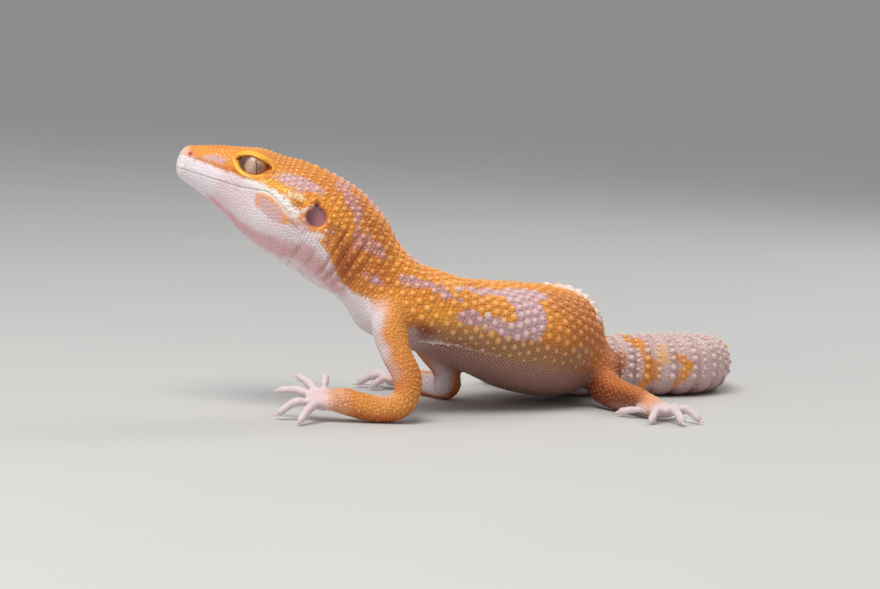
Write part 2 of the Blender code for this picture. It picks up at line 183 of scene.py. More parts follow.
class Finish:
    """A material under construction round its Principled shader."""

    def __init__(self, name, **constants):
        self.material = bpy.data.materials.new(name)
        self.material.use_nodes = True
        self.nodes = self.material.node_tree.nodes
        self.links = self.material.node_tree.links
        self.shader = self.nodes["Principled BSDF"]
        self.set(**constants)

    def node(self, kind, settings=None, inputs=None):
        """Add a node of a type, set its settings, then fill or link its sockets."""
        node = self.nodes.new(kind)
        for name, value in (settings or {}).items():
            setattr(node, name, value)
        for name, value in (inputs or {}).items():
            self.feed(node.inputs[name], value)
        return node

    def feed(self, socket, value):
        """Link a socket to another one, or set it to a constant."""
        if isinstance(value, Value):
            value = value.socket
        if isinstance(value, bpy.types.NodeSocket):
            self.links.new(value, socket)
        else:
            socket.default_value = value

    def texture(self, kind, size, inputs, output):
        """A texture of the object's own space whose details are about a size in millimetres."""
        place = self.node("ShaderNodeTexCoord").outputs["Object"]
        made = self.node(kind, {}, {"Vector": place, "Scale": 1.0 / (size * MM), **inputs})
        return Value(self, made.outputs[output])

    def noise(self, size, detail=2.0):
        """Soft noise, about 0 to 1."""
        return self.texture("ShaderNodeTexNoise", size, {"Detail": detail}, "Fac")

    def cells(self, size):
        """Distance to the middle of the nearest of many cells."""
        return self.texture("ShaderNodeTexVoronoi", size, {}, "Distance")

    def blend(self, factor, first, second):
        """A colour between two, by a factor."""
        made = self.node("ShaderNodeMix", {"data_type": "RGBA"}, {0: factor, 6: first, 7: second})
        return made.outputs[2]

    def bump(self, height, depth):
        """Tilt the normal by a height field whose full depth is given in millimetres."""
        made = self.node("ShaderNodeBump", {}, {"Height": height, "Distance": depth * MM})
        self.feed(self.shader.inputs["Normal"], made.outputs[0])

    def set(self, **values):
        """Feed inputs of the shader, named with _ for a space."""
        for socket, value in values.items():
            self.feed(self.shader.inputs[socket.replace("_", " ")], value)


def paint(red, green, blue):
    """A colour given as 0 to 255 on a screen, as the linear light that a shader takes."""
    screen = np.array((red, green, blue)) / 255.0
    return np.where(screen < 0.04045, screen / 12.92, ((screen + 0.055) / 1.055)**2.4)


print("shader helpers ready")

# %% [markdown]
# ## The floor
#
# A pale board that curves up into a backdrop far from the animal, as the paper sweep of a studio
# does, so that no view sees an edge or a horizon. It is stage and not part of the animal.

# %% Floor
FLAT_RADIUS = 1.3
SWEEP_RADIUS = 3.4
SWEEP_CURVE = 0.55
SWEEP_SIDES = 48
SWEEP_RINGS = 14
FIRST_RADIUS = 0.3
BOARD_CLOUDS = 60.0             # millimetres
BOARD_DARK = (0.56, 0.56, 0.55, 1.0)
BOARD_LIGHT = (0.60, 0.595, 0.58, 1.0)


def full_turn(sides):
    """Equal angles round a circle."""
    return np.linspace(0.0, 2 * math.pi, sides, endpoint=False)


def ring_quads(rings, sides, joined=False):
    """Quads between each ring of points and the next; "joined" adds those from last to first."""
    index = np.arange(rings * sides).reshape(rings, sides)
    if joined:
        index = np.concatenate((index, index[:1]))
    after = np.roll(index, -1, axis=1)
    return np.stack((index[:-1], index[1:], after[1:], after[:-1]), -1).reshape(-1, 4)


def sweep_mesh():
    """Rings round the middle: flat, then rising with the square of the distance beyond."""
    rising = np.linspace(FLAT_RADIUS, SWEEP_RADIUS, SWEEP_RINGS)
    radius = np.concatenate(((FIRST_RADIUS,), rising))[:, None]
    turn = full_turn(SWEEP_SIDES)
    height = SWEEP_CURVE * np.maximum(radius - FLAT_RADIUS, 0.0)**2
    rings = np.stack(np.broadcast_arrays(radius * np.cos(turn), radius * np.sin(turn), height), -1)
    faces = ring_quads(len(radius), SWEEP_SIDES).tolist() + [list(range(SWEEP_SIDES))]
    mesh = bpy.data.meshes.new("floor")
    mesh.from_pydata(rings.reshape(-1, 3), [], faces)
    mesh.polygons.foreach_set("use_smooth", np.ones(len(mesh.polygons), bool))
    return mesh


floor = bpy.data.objects.new("floor", sweep_mesh())
bpy.context.scene.collection.objects.link(floor)
board = Finish("floor_board", Roughness=0.75)
board.set(Base_Color=board.blend(board.noise(BOARD_CLOUDS), BOARD_DARK, BOARD_LIGHT))
floor.data.materials.append(board.material)
print("floor flat to", FLAT_RADIUS, "m from the middle")

# %% [markdown]
# ## The body as one surface of two parameters
#
# Head, neck, trunk and tail are one tube round a curved spine. A point on it has two numbers:
# how far along the spine it is, and how far round. Sections are given at a few stations, and a
# smooth curve through them fills in the rest. One could also sculpt a cage and subdivide it, but
# then nothing would say where along the back a marking or a row of scales belongs.

# %% Sections of the body
SNOUT = np.array((-49.8, 0.0, 44.6))
HEAD_PITCH = math.radians(12.2)
NOSE_LENGTH = 2.17
HEAD_SECTIONS = (               # back, top, widest level, underside, half width
    (2.2, 4.0, 0.4, -2.9, 3.6),
    (6.8, 5.3, 0.0, -4.7, 5.6),
    (11.0, 6.0, -0.6, -6.9, 7.2),
    (15.0, 6.6, -1.4, -9.4, 8.7),
    (19.0, 6.5, -2.4, -11.2, 10.1),
    (23.0, 6.6, -3.2, -12.6, 10.8),
)
TRUNK_SECTIONS = (              # x, y, z of the middle, half height, half width, lean
    (-24.3, 0.0, 35.3, 9.7, 10.4, 24),
    (-19.4, 0.3, 32.3, 9.8, 9.3, 27),
    (-15.1, 0.6, 29.0, 8.8, 8.1, 31),
    (-12.7, 1.0, 25.7, 7.9, 7.8, 36),
    (-9.7, 1.9, 22.2, 8.3, 8.6, 38),
    (-4.3, 4.3, 19.8, 8.1, 9.9, 28),
    (1.6, 9.0, 17.6, 8.1, 11.0, 20),
    (8.3, 15.0, 15.4, 9.2, 12.2, 12),
    (14.8, 21.2, 13.4, 10.6, 12.9, 6),
    (20.2, 28.3, 12.1, 11.0, 12.4, 2),
    (24.3, 35.6, 11.5, 10.5, 9.8, 0),
)
TAIL_WIDTHS = (                 # x, y, half width
    (27.6, 40.6, 7.6), (31.4, 43.8, 6.8), (37.2, 46.0, 6.9), (44.2, 47.8, 7.0),
    (50.6, 52.2, 6.9), (54.2, 60.0, 6.4), (53.4, 68.8, 5.5), (47.8, 75.8, 4.5),
    (39.4, 79.0, 3.3), (30.6, 78.0, 1.7),
)
TAIL_HEIGHT = 0.92
TAIL_TIP = 1.2
FLOOR_DIP = 0.25
WHORL = 4.0
WHORL_DEPTH = 0.035
SQUARENESS = 2.25
TANGENT_STEP = 0.2


def path_knots(points):
    """Length along a path at each of its points."""
    steps = np.linalg.norm(np.diff(points, axis=0), axis=1)
    return np.concatenate(([0.0], np.cumsum(steps)))


def smooth(knots, values, at):
    """Hermite curve through values at knots: cubic between neighbours, with slopes from both."""
    slopes = np.gradient(values, knots, axis=0)
    left = np.clip(np.searchsorted(knots, at, side="right") - 1, 0, len(knots) - 2)
    span = (knots[left + 1] - knots[left])[..., None]
    t = (at - knots[left])[..., None] / span
    start, end = values[left], values[left + 1]
    return ((2 * t**3 - 3 * t**2 + 1) * start + (t**3 - 2 * t**2 + t) * span * slopes[left]
            + (3 * t**2 - 2 * t**3) * end + (t**3 - t**2) * span * slopes[left + 1])


def head_point(back, out, up):
    """A point of the head: back from the snout, out towards +Y, up from the head's axis."""
    cos, sin = math.cos(HEAD_PITCH), math.sin(HEAD_PITCH)
    offset = np.stack(np.broadcast_arrays(back * cos + up * sin, out, up * cos - back * sin), -1)
    return SNOUT + offset


def head_local(points):
    """Back, out and up of points: the inverse of head_point."""
    cos, sin = math.cos(HEAD_PITCH), math.sin(HEAD_PITCH)
    x, y, z = np.moveaxis(points - SNOUT, -1, 0)
    return np.stack((x * cos - z * sin, y, x * sin + z * cos), -1)


def body_stations():
    """All sections as rows of x, y, z, height above, depth below, half width, lean."""
    rows = []
    for back, top, level, bottom, width in HEAD_SECTIONS:
        centre = head_point(back, 0.0, level)
        rows.append((*centre, top - level, level - bottom, width, math.degrees(HEAD_PITCH)))
    for x, y, z, height, width, lean in TRUNK_SECTIONS:
        rows.append((x, y, z, height, height, width, lean))
    for x, y, width in TAIL_WIDTHS:
        height = width * TAIL_HEIGHT
        rows.append((x, y, height - FLOOR_DIP, height, height, width, 0.0))
    return np.array(rows)


STATIONS = body_stations()
KNOTS = path_knots(STATIONS[:, :3])
SPINE_LENGTH = KNOTS[-1]
TAIL_START = KNOTS[-len(TAIL_WIDTHS)]
print("spine", round(SPINE_LENGTH, 1), "mm, tail from", round(TAIL_START, 1))


# %% The bare tube
def hill(x, middle, half):
    """A smooth hump of height 1 at the middle that fades over a half width."""
    return np.exp(-((x - middle) / half)**2)


def step(x, low, high):
    """0 below low, 1 above high, with a smooth S between them."""
    t = np.clip((x - low) / (high - low), 0.0, 1.0)
    return t * t * (3.0 - 2.0 * t)


def plateau(x, rise, fall):
    """1 between two smooth steps: up over the pair "rise" and down again over the pair "fall"."""
    return step(x, *rise) * (1.0 - step(x, *fall))


def humps(x, places):
    """Sum of hills, each given by its middle, half width and height."""
    return sum(height * hill(x, middle, half) for middle, half, height in places)


def whorl_groove(at, narrow):
    """1 in the groove between two rings of tail scales and 0 elsewhere."""
    phase = (at - TAIL_START) / WHORL
    from_groove = np.abs(phase - np.round(phase))
    return np.where(at > TAIL_START, hill(from_groove, 0.0, narrow), 0.0)


def closed_share(at):
    """How far a section is beyond the first or the last station, from 0 to 1 at the pole."""
    beyond_nose, beyond_tail = -at / NOSE_LENGTH, (at - SPINE_LENGTH) / TAIL_TIP
    return np.maximum(np.clip(beyond_nose, 0.0, 1.0), np.clip(beyond_tail, 0.0, 1.0))


def body_tube(at, turn):
    """Points of the plain tube and the directions that point out of it.

    The section is a superellipse: out = sign(cos) |cos|^(2/p), up = sign(sin) |sin|^(2/p). It is
    placed at the spine's point, with its width level across the heading and its height leaning
    along it. Nose and tail tip close as domes, and the tail narrows between its rings.
    """
    at, turn = np.broadcast_arrays(np.asarray(at, float), np.asarray(turn, float))
    inside = np.clip(at, 0.0, SPINE_LENGTH)
    row = smooth(KNOTS, STATIONS, inside)
    ahead = np.clip(inside + TANGENT_STEP, 0.0, SPINE_LENGTH)
    behind = np.clip(inside - TANGENT_STEP, 0.0, SPINE_LENGTH)
    along = smooth(KNOTS, STATIONS[:, :3], ahead) - smooth(KNOTS, STATIONS[:, :3], behind)
    along /= np.linalg.norm(along, axis=-1)[..., None]
    centre = row[..., :3] + along * (at - inside)[..., None]
    heading = np.arctan2(along[..., 1], along[..., 0])
    lean = np.radians(row[..., 6])
    side = np.stack((-np.sin(heading), np.cos(heading), 0 * heading), -1)
    rise = np.stack((np.sin(lean) * np.cos(heading), np.sin(lean) * np.sin(heading),
                     np.cos(lean)), -1)
    cos, sin = np.cos(turn), np.sin(turn)
    out = np.sign(cos) * np.abs(cos)**(2 / SQUARENESS)
    up = np.sign(sin) * np.abs(sin)**(2 / SQUARENESS)
    closing = closed_share(at)
    wave = 0.5 - 0.5 * np.cos(2 * math.pi * (at - TAIL_START) / WHORL)
    ringed = np.where(at > TAIL_START, 1.0 - WHORL_DEPTH * (1.0 - wave), 1.0)
    scale = np.sqrt(1.0 - closing**2) * ringed
    height = np.where(up > 0, row[..., 3], row[..., 4]) * scale
    width = row[..., 5] * scale
    points = centre + (width * out)[..., None] * side + (height * up)[..., None] * rise
    outward = cos[..., None] * side + sin[..., None] * rise
    outward /= np.linalg.norm(outward, axis=-1)[..., None]
    return points, outward


print("half way along the back:", np.round(body_tube(80.0, math.pi / 2)[0], 1))

# %% [markdown]
# ## From tube to living surface
#
# Tubercles stand on the skin, so the skin lies deeper than the outline by the height of its coat:
# about half a millimetre on the back and next to nothing on the face and belly. On that depth
# come the forms of the animal, each a hump or a hollow with a name, a place and a size. A sculpt
# would hold the same forms without saying what they are.

# %% Relief of the body
COAT_AT = np.array((-3.0, 9.0, 15.0, 20.0, 27.0, 45.0, 95.0, 103.0, 150.0, 175.0))
COAT_DEPTH = np.array((0.10, 0.12, 0.22, 0.30, 0.38, 0.44, 0.46, 0.52, 0.42, 0.16))
BARE_DEPTH = 0.12
BORDER_AT = np.array((-2.2, -1.0, 1.5, 4.5, 7.8, 10.5, 14.0, 17.0, 20.0, 22.5, 25.5, 27.5, 30.5,
                      33.0, 35.2, 38.0, 41.0, 44.0, 47.0, 50.0, 54.0, 59.5, 66.0, 74.0, 82.0,
                      90.0, 97.0, 110.0, 175.0))
BORDER = np.array((58.0, 60.0, 66.0, 71.0, 75.0, 76.0, 77.0, 80.0, 84.0, 88.0, 94.0, 99.0, 106.0,
                   117.0, 131.0, 131.0, 121.0, 121.0, 122.0, 128.0, 131.0, 128.0, 127.0, 118.0,
                   114.0, 114.0, 118.0, 126.0, 126.0))
EAR = (27.85, -2.2)             # back, up
EAR_RADIUS = 1.95
EAR_NOTCH = (27.35, 0.35)
EAR_NOTCH_RADIUS = 0.42
EAR_PIT = 2.3
BESIDE_EAR = 5.0                # both ears lie further out than this
BROW = (14.0, 6.6, 4.6)
BROW_RISE = 1.39
BROW_SPREAD = 4.0
EAR_CORNER = 4.0                # the higher, the sharper the corner between disc and notch
HEAD_REACH = 32.0
# grooves as place and depth, the degrees round the body where they start and end, half width
NECK_FOLDS = (((31.4, 0.42), (33.4, 0.60), (35.3, 0.55), (37.3, 0.34)), 62.0, 150.0, 0.45)
THROAT_FOLDS = (((22.2, 0.16), (25.2, 0.24), (28.0, 0.24)), 104.0, 185.0, 0.35)
FOLD_DRIFT = 0.01               # a groove's shift along the body for each degree round it
FOLD_FADE = 18.0
JAW_FOLD_AT = np.array((3.0, 6.0, 13.8, 19.0, 23.0))
JAW_FOLD = np.array((153.0, 145.0, 137.0, 127.0, 118.0))
FLANK_FOLD_AT = np.array((51.0, 53.8, 56.2, 59.8, 66.0, 72.0))
FLANK_FOLD = np.array((150.0, 134.0, 130.0, 127.0, 124.0, 119.0))
# below, two numbers are a hill's middle and half width, or where a step starts and ends
CHEEK_BACK, CHEEK_UP, CHEEK_ROUND, CHEEK_DEPTH = (8.2, 3.4), (2.5, 1.3), (30.0, 50.0), 0.42
LIP_UP, LIP_BACK, LIP_ROUND, LIP_RISE = (-0.1, 0.7), (15.0, 18.0), (55.0, 70.0), 0.10
JOWL_BACK, JOWL_UP, JOWL_RISE = (21.0, 4.5), (-5.0, 3.0), 0.14
PIT_EDGE, EAR_RIM, EAR_RIM_RISE = (-0.45, 0.12), (0.5, 0.45), 0.12
COAT_EDGE = 8.0                 # degrees over which the coat gets thinner at the belly's border
JAW_FOLD_START, JAW_FOLD_END, JAW_FOLD_HALF, JAW_FOLD_DEPTH = (2.5, 5.0), (19.0, 23.0), 4.0, 0.30
ARMPIT_AT, ARMPIT_ROUND, ARMPIT_DEPTH = (50.6, 1.9), (127.0, 12.0), 1.6
FLANK_START, FLANK_END = (50.5, 53.0), (60.0, 72.0)
FLANK_PROFILE = ((0.0, 2.4, 0.42), (6.5, 4.0, -0.40), (-6.0, 3.0, -0.25))
WHORL_GROOVE, WHORL_GROOVE_HALF = 0.42, 0.11
BROW_SLANT = 0.8


def from_back(turn):
    """Degrees round the body from the middle of the back: positive on the animal's left."""
    return (np.degrees(turn) + 90.0) % 360.0 - 180.0


def round_place(around):
    """The turn of the section for degrees from the middle of the back."""
    return np.radians(90.0 + around)


def folds(at, around, grooves, low, high, narrow):
    """Sum of narrow grooves across the body between two heights on its side."""
    drift = FOLD_DRIFT * (around - low)
    depth = sum(deep * hill(at + drift, place, narrow) for place, deep in grooves)
    return -depth * plateau(around, (low, low + FOLD_FADE), (high - FOLD_FADE, high))


def ear_edge(back, up):
    """Distance to the ear's opening, negative inside it: a disc and a notch above it.

    The distances a and b are blended as -ln(e^-ka + e^-kb) / k, which rounds their corner.
    """
    along, rise = EAR_NOTCH[0] - EAR[0], EAR_NOTCH[1] - EAR[1]
    t = np.clip(((back - EAR[0]) * along + (up - EAR[1]) * rise) / (along**2 + rise**2), 0.0, 1.0)
    disc = np.hypot(back - EAR[0], up - EAR[1]) - EAR_RADIUS
    notch = np.hypot(back - EAR[0] - t * along, up - EAR[1] - t * rise) - EAR_NOTCH_RADIUS
    return -np.logaddexp(-EAR_CORNER * disc, -EAR_CORNER * notch) / EAR_CORNER


def head_relief(back, out, up, around):
    """Snout hollows, lips and the ear's pit, pushed outwards in millimetres."""
    cheek = hill(back, *CHEEK_BACK) * hill(up, *CHEEK_UP) * step(around, *CHEEK_ROUND)
    lip = hill(up, *LIP_UP) * (1.0 - step(back, *LIP_BACK)) * step(around, *LIP_ROUND)
    jowl = hill(back, *JOWL_BACK) * hill(up, *JOWL_UP)
    edge = ear_edge(back, up)
    ear = EAR_RIM_RISE * hill(edge, *EAR_RIM) - EAR_PIT * (1.0 - step(edge, *PIT_EDGE))
    return -CHEEK_DEPTH * cheek + LIP_RISE * lip + JOWL_RISE * jowl + ear


def body_skin(at, turn):
    """The skin at a length along the spine and a turn round it.

    It is the tube moved inwards by the coat's depth, plus the brow's hill (pushed out and up),
    plus the relief of the head, neck, shoulder, flank and tail.
    """
    points, outward = body_tube(at, turn)
    at, turn = np.broadcast_arrays(np.asarray(at, float), np.asarray(turn, float))
    around = np.abs(from_back(turn))
    local = head_local(points)
    back, out, up = local[..., 0], np.abs(local[..., 1]), local[..., 2]
    border = np.interp(at, BORDER_AT, BORDER)
    covered = 1.0 - step(around, border - COAT_EDGE, border + COAT_EDGE)
    relief = -(BARE_DEPTH + (np.interp(at, COAT_AT, COAT_DEPTH) - BARE_DEPTH) * covered)
    relief += np.where(at < HEAD_REACH, head_relief(back, out, up, around), 0.0)
    relief += folds(at, around, *NECK_FOLDS) + folds(at, around, *THROAT_FOLDS)
    jaw = hill(around, np.interp(at, JAW_FOLD_AT, JAW_FOLD), JAW_FOLD_HALF)
    relief -= JAW_FOLD_DEPTH * jaw * plateau(at, JAW_FOLD_START, JAW_FOLD_END)
    relief -= ARMPIT_DEPTH * hill(at, *ARMPIT_AT) * hill(around, *ARMPIT_ROUND)
    from_ridge = around - np.interp(at, FLANK_FOLD_AT, FLANK_FOLD)
    relief += plateau(at, FLANK_START, FLANK_END) * humps(from_ridge, FLANK_PROFILE)
    relief -= WHORL_GROOVE * whorl_groove(at, WHORL_GROOVE_HALF)
    relief *= np.sqrt(1.0 - closed_share(at)**2)
    points = points + relief[..., None] * outward
    distance = np.sqrt((back - BROW[0])**2 + (out - BROW[1])**2 + (up - BROW[2])**2)
    brow = BROW_RISE * hill(distance, 0.0, BROW_SPREAD)
    sign = np.sign(local[..., 1])
    return points + BROW_SLANT * np.stack((0 * brow, brow * sign, brow), -1)


print("coat up to", COAT_DEPTH.max(), "mm deep, brow", BROW_RISE, "mm high")

# %% Meshes from grids
CHART_STEP = 2.0                # each part has its own column of the map that holds its place


def placed_mesh(name, vertices, groups, inside_out, chart):
    """A mesh from groups of faces, each group with the u and v of its corners.

    The map "place" keeps u, the share along the part (plus the part's column), and v, the share
    round it. Whatever cuts or joins the mesh later, each point still knows where on the animal
    it is.
    """
    if inside_out:
        groups = [[table[:, ::-1] for table in group] for group in groups]
    faces, u, v = zip(*groups)
    mesh = bpy.data.meshes.new(name)
    mesh.from_pydata(to_model(vertices), [], [face for table in faces for face in table.tolist()])
    u, v = (np.concatenate([table.ravel() for table in tables]) for tables in (u, v))
    place = np.column_stack((u + chart * CHART_STEP, v))
    layer = mesh.uv_layers.new(name="place")
    layer.data.foreach_set("uv", place.astype(np.float32).ravel())
    mesh.update()
    return mesh


def quad_places(rows, sides):
    """u and v at the four corners of each quad of a grid."""
    row, column = np.divmod(np.arange(rows * sides), sides)
    u = np.stack((row, row + 1, row + 1, row), -1) / rows
    return u, np.stack((column, column, column + 1, column + 1), -1) / sides


def with_ends(points):
    """The points of a grid in one list, then the middles of its first and last ring."""
    return np.concatenate((points.reshape(-1, 3), points[[0, -1]].mean(axis=1)))


def grid_mesh(name, points, chart=0):
    """A closed mesh over a grid of points: rows are rings, and each end is closed by a fan."""
    rings, sides = points.shape[:2]
    vertices = with_ends(points)
    middle = vertices[-2:].mean(0)
    quads = ring_quads(rings, sides)
    a, b, c = (vertices[quads[:, k]] - middle for k in range(3))
    inside_out = np.einsum("ij,ij->i", a, np.cross(b, c)).sum() < 0
    side = np.arange(sides)
    after = (side + 1) % sides
    last = (rings - 1) * sides
    first_fan = np.stack((np.full(sides, rings * sides), side, after), -1)
    last_fan = np.stack((np.full(sides, rings * sides + 1), last + after, last + side), -1)
    fan_v = np.stack((side + 0.5, side, side + 1), -1) / sides
    groups = [(quads, *quad_places(rings - 1, sides)),
              (first_fan, np.zeros((sides, 3)), fan_v),
              (last_fan, np.ones((sides, 3)), fan_v[:, [0, 2, 1]])]
    return placed_mesh(name, vertices, groups, inside_out, chart)


def add_piece(name, mesh):
    """Link a mesh as an object at the origin."""
    piece = bpy.data.objects.new(name, mesh)
    bpy.context.scene.collection.objects.link(piece)
    return piece


# %% Body mesh
BODY_SIDES = 160
NOSE_RINGS = 9
HEAD_SPACING = 0.27
TRUNK_SPACING = 0.5
TIP_RINGS = 5
POLE_GAP = 6.0                  # degrees between the last ring of a dome and its pole
nose = -NOSE_LENGTH * np.sin(np.radians(np.linspace(90.0 - POLE_GAP, 8.0, NOSE_RINGS)))
head_rings = np.arange(0.0, HEAD_REACH, HEAD_SPACING)
trunk_rings = np.arange(HEAD_REACH, SPINE_LENGTH, TRUNK_SPACING)
tip = SPINE_LENGTH + TAIL_TIP * np.sin(np.radians(np.linspace(0.0, 90.0 - POLE_GAP, TIP_RINGS)))
body_at = np.concatenate((nose, head_rings, trunk_rings, tip))
body_turn = np.linspace(-math.pi / 2, 1.5 * math.pi, BODY_SIDES, endpoint=False)
body_mesh = grid_mesh("body", body_skin(body_at[:, None], body_turn[None, :]))
print("body", len(body_at), "rings of", BODY_SIDES, "points")


def u_of(at):
    """The body's u for a length along the spine: the ring's number over the last ring's."""
    return np.interp(at, body_at, np.arange(len(body_at))) / (len(body_at) - 1)


def at_of(u):
    """The length along the spine for the body's u."""
    return np.interp(u * (len(body_at) - 1), np.arange(len(body_at)), body_at)

# %% [markdown]
# ## Legs, palms and toes
#
# A leg is a profile carried along a path. The path runs from inside the trunk to the wrist, and
# each point on it has its own radius. The frame that carries the round section is handed on
# from station to station with as little twist as possible, because a fixed "up" would spin
# where the upper arm stands upright.

# %% Paths of the limbs
LEFT_ARM = (
    (-7.0, 1.0, 21.5, 4.2), (-9.2, -5.4, 18.4, 3.7), (-7.8, -8.6, 13.0, 2.8),
    (-5.1, -11.2, 7.0, 2.7), (-6.1, -12.2, 3.6, 2.65), (-9.9, -12.9, 2.5, 2.45),
    (-14.0, -13.6, 3.1, 2.4), (-17.4, -14.0, 3.9, 2.4),
)
RIGHT_ARM = (
    (-5.0, 6.0, 20.5, 4.2), (-4.4, 13.2, 16.4, 3.9), (-1.2, 17.8, 11.0, 3.2),
    (2.0, 21.2, 6.0, 2.8), (2.2, 23.4, 2.9, 2.7), (-0.4, 27.2, 2.4, 2.5),
    (-2.8, 30.4, 2.3, 2.3), (-5.2, 33.2, 2.2, 2.0),
)
LEFT_LEG = (
    (25.0, 37.0, 9.6, 4.8), (29.3, 33.0, 8.6, 4.9), (31.8, 28.6, 7.0, 4.3),
    (32.4, 24.4, 4.4, 3.5), (35.2, 19.2, 3.1, 3.0), (38.4, 14.6, 2.8, 2.5),
    (41.0, 11.0, 2.3, 2.1),
)
RIGHT_LEG = (
    (22.0, 39.0, 9.4, 4.8), (16.6, 43.0, 8.4, 4.8), (13.4, 47.0, 7.0, 4.2),
    (12.2, 51.4, 4.4, 3.5), (14.4, 56.4, 3.1, 3.0), (17.4, 60.6, 2.6, 2.5),
    (20.2, 63.6, 2.2, 2.1),
)
FEET = {                        # middle of the sole, half sizes, roll, toe tips and knuckle lifts
    "hand_left": ((-20.0, -14.4, 3.8), (3.5, 3.1, 1.7), 30, (
        (-20.2, -10.6, 7.9, 0.4), (-25.3, -9.6, 7.4, 0.6), (-28.8, -11.4, 4.8, 0.8),
        (-28.4, -15.8, 1.0, 1.2), (-24.0, -22.6, 0.75, 0.9))),
    "hand_right": ((-7.6, 35.8, 2.0), (3.4, 3.1, 1.7), 0, (
        (-12.6, 31.8, 0.75, 0.8), (-15.6, 35.6, 0.75, 1.2), (-14.8, 40.6, 0.75, 1.3),
        (-10.4, 43.6, 0.75, 1.2), (-4.8, 42.8, 0.75, 0.9))),
    "foot_left": ((43.0, 8.6, 2.0), (3.4, 3.3, 1.7), 0, (
        (34.8, 11.4, 0.8, 0.4), (40.4, 1.4, 0.75, 1.0), (46.4, 0.6, 0.75, 1.3),
        (50.0, 5.0, 0.75, 1.4), (47.4, 14.6, 0.75, 0.9))),
    "foot_right": ((22.4, 66.0, 1.9), (3.3, 3.3, 1.6), 0, (
        (15.2, 63.9, 0.75, 0.6), (14.2, 68.6, 0.75, 1.1), (17.4, 73.0, 0.75, 1.3),
        (22.8, 75.0, 0.75, 1.3), (28.0, 71.2, 0.75, 0.9))),
}
LIMBS = {"arm_left": LEFT_ARM, "arm_right": RIGHT_ARM, "leg_left": LEFT_LEG, "leg_right": RIGHT_LEG}
LIMB_DEPTH = 0.15
WRIST_RADIUS = 1.85
TOE_ROOT_RADIUS = 1.04
TOE_TIP_RADIUS = 0.66
TOE_DEPTH = 0.08
TOE_DOME = 0.1                  # share of the toe that is its rounded end
# hills along a limb as share of its length, half width and height
LEG_MUSCLES = ((0.30, 0.14, 0.10), (0.78, 0.10, 0.08))
TOE_KNUCKLES = ((0.52, 0.10, 0.06), (0.88, 0.09, 0.10))
TOE_START, TOE_BEND = 0.15, 0.6
PALM_SHARE = np.array((0.9, 0.88, 0.9))     # the palm is a little smaller than its half sizes
PALM_LATITUDE, PALM_RINGS, PALM_SIDES = 86.0, 16, 28
PATH_STATIONS = 121


def columns_at(at, knots, table):
    """Linear interpolation in every column of a table."""
    return np.stack([np.interp(at, knots, column) for column in table.T], -1)


def path_frames(path, count):
    """Stations of a smooth path with the two directions across it.

    Each station takes the side of the one before, with what points along the new tangent taken
    away: the frame of least twist.
    """
    path = np.asarray(path, float)
    knots = path_knots(path[:, :3])
    rows = smooth(knots, path, np.linspace(0.0, knots[-1], count))
    tangent = np.gradient(rows[:, :3], axis=0)
    tangent /= np.linalg.norm(tangent, axis=1)[:, None]
    side = np.zeros_like(tangent)
    last = np.cross(tangent[0], (0.0, 0.0, 1.0))
    for station, forward in enumerate(tangent):
        last = last - forward * (last @ forward)
        last /= np.linalg.norm(last)
        side[station] = last
    return rows, side, np.cross(side, tangent)


def carry(path, shares, sides, radius_of):
    """A round section carried along a path; radius_of gives its radius from share and taper."""
    at = shares * (PATH_STATIONS - 1)
    row, across, over = (columns_at(at, np.arange(PATH_STATIONS), table)
                         for table in path_frames(path, PATH_STATIONS))
    turn = full_turn(sides)[None, :, None]
    ring = np.cos(turn) * across[:, None] + np.sin(turn) * over[:, None]
    return row[:, None, :3] + ring * radius_of(shares, row[:, 3])[:, None, None]


def leg_radius(share, radius):
    """The path's radius less the coat's depth, with a slight swell of muscle below the bend."""
    return radius - LIMB_DEPTH + humps(share, LEG_MUSCLES)


def toe_radius(share, radius):
    """Taper with two knuckles and a rounded, narrow end: the dome is a quarter circle."""
    dome = np.clip((share - 1.0 + TOE_DOME) / (TOE_DOME + 1e-4), 0.0, 1.0)
    return (radius - TOE_DEPTH + humps(share, TOE_KNUCKLES)) * np.sqrt(1.0 - dome**2)


def toe_path(palm, tip, lift):
    """Rows of a toe from the sole's middle over its knuckle to its tip."""
    root, end = np.array(palm), np.array(tip)
    knuckle = root + (end - root) * TOE_BEND + (0, 0, lift)
    start = root + (end - root) * TOE_START
    middle = (TOE_ROOT_RADIUS + TOE_TIP_RADIUS) / 2
    return np.array(((*start, TOE_ROOT_RADIUS), (*knuckle, middle), (*end, TOE_TIP_RADIUS)))


def unit_sphere(limit, rings, sides):
    """A sphere of radius 1 by latitude, up to a limit in degrees, and by longitude."""
    north = np.radians(np.linspace(-limit, limit, rings))[:, None]
    east = full_turn(sides)[None, :]
    axes = np.cos(north) * np.cos(east), np.cos(north) * np.sin(east), np.sin(north)
    return np.stack(np.broadcast_arrays(*axes), -1)


def palm_grid(centre, sizes, roll):
    """An ellipsoid rolled about the animal's length."""
    x, y, z = np.moveaxis(unit_sphere(PALM_LATITUDE, PALM_RINGS, PALM_SIDES) * sizes * PALM_SHARE, -1, 0)
    cos, sin = math.cos(math.radians(roll)), math.sin(math.radians(roll))
    return np.stack((x, y * cos - z * sin, y * sin + z * cos), -1) + np.array(centre)


print(len(LIMBS), "legs and", sum(len(toes) for *_, toes in FEET.values()), "toes")

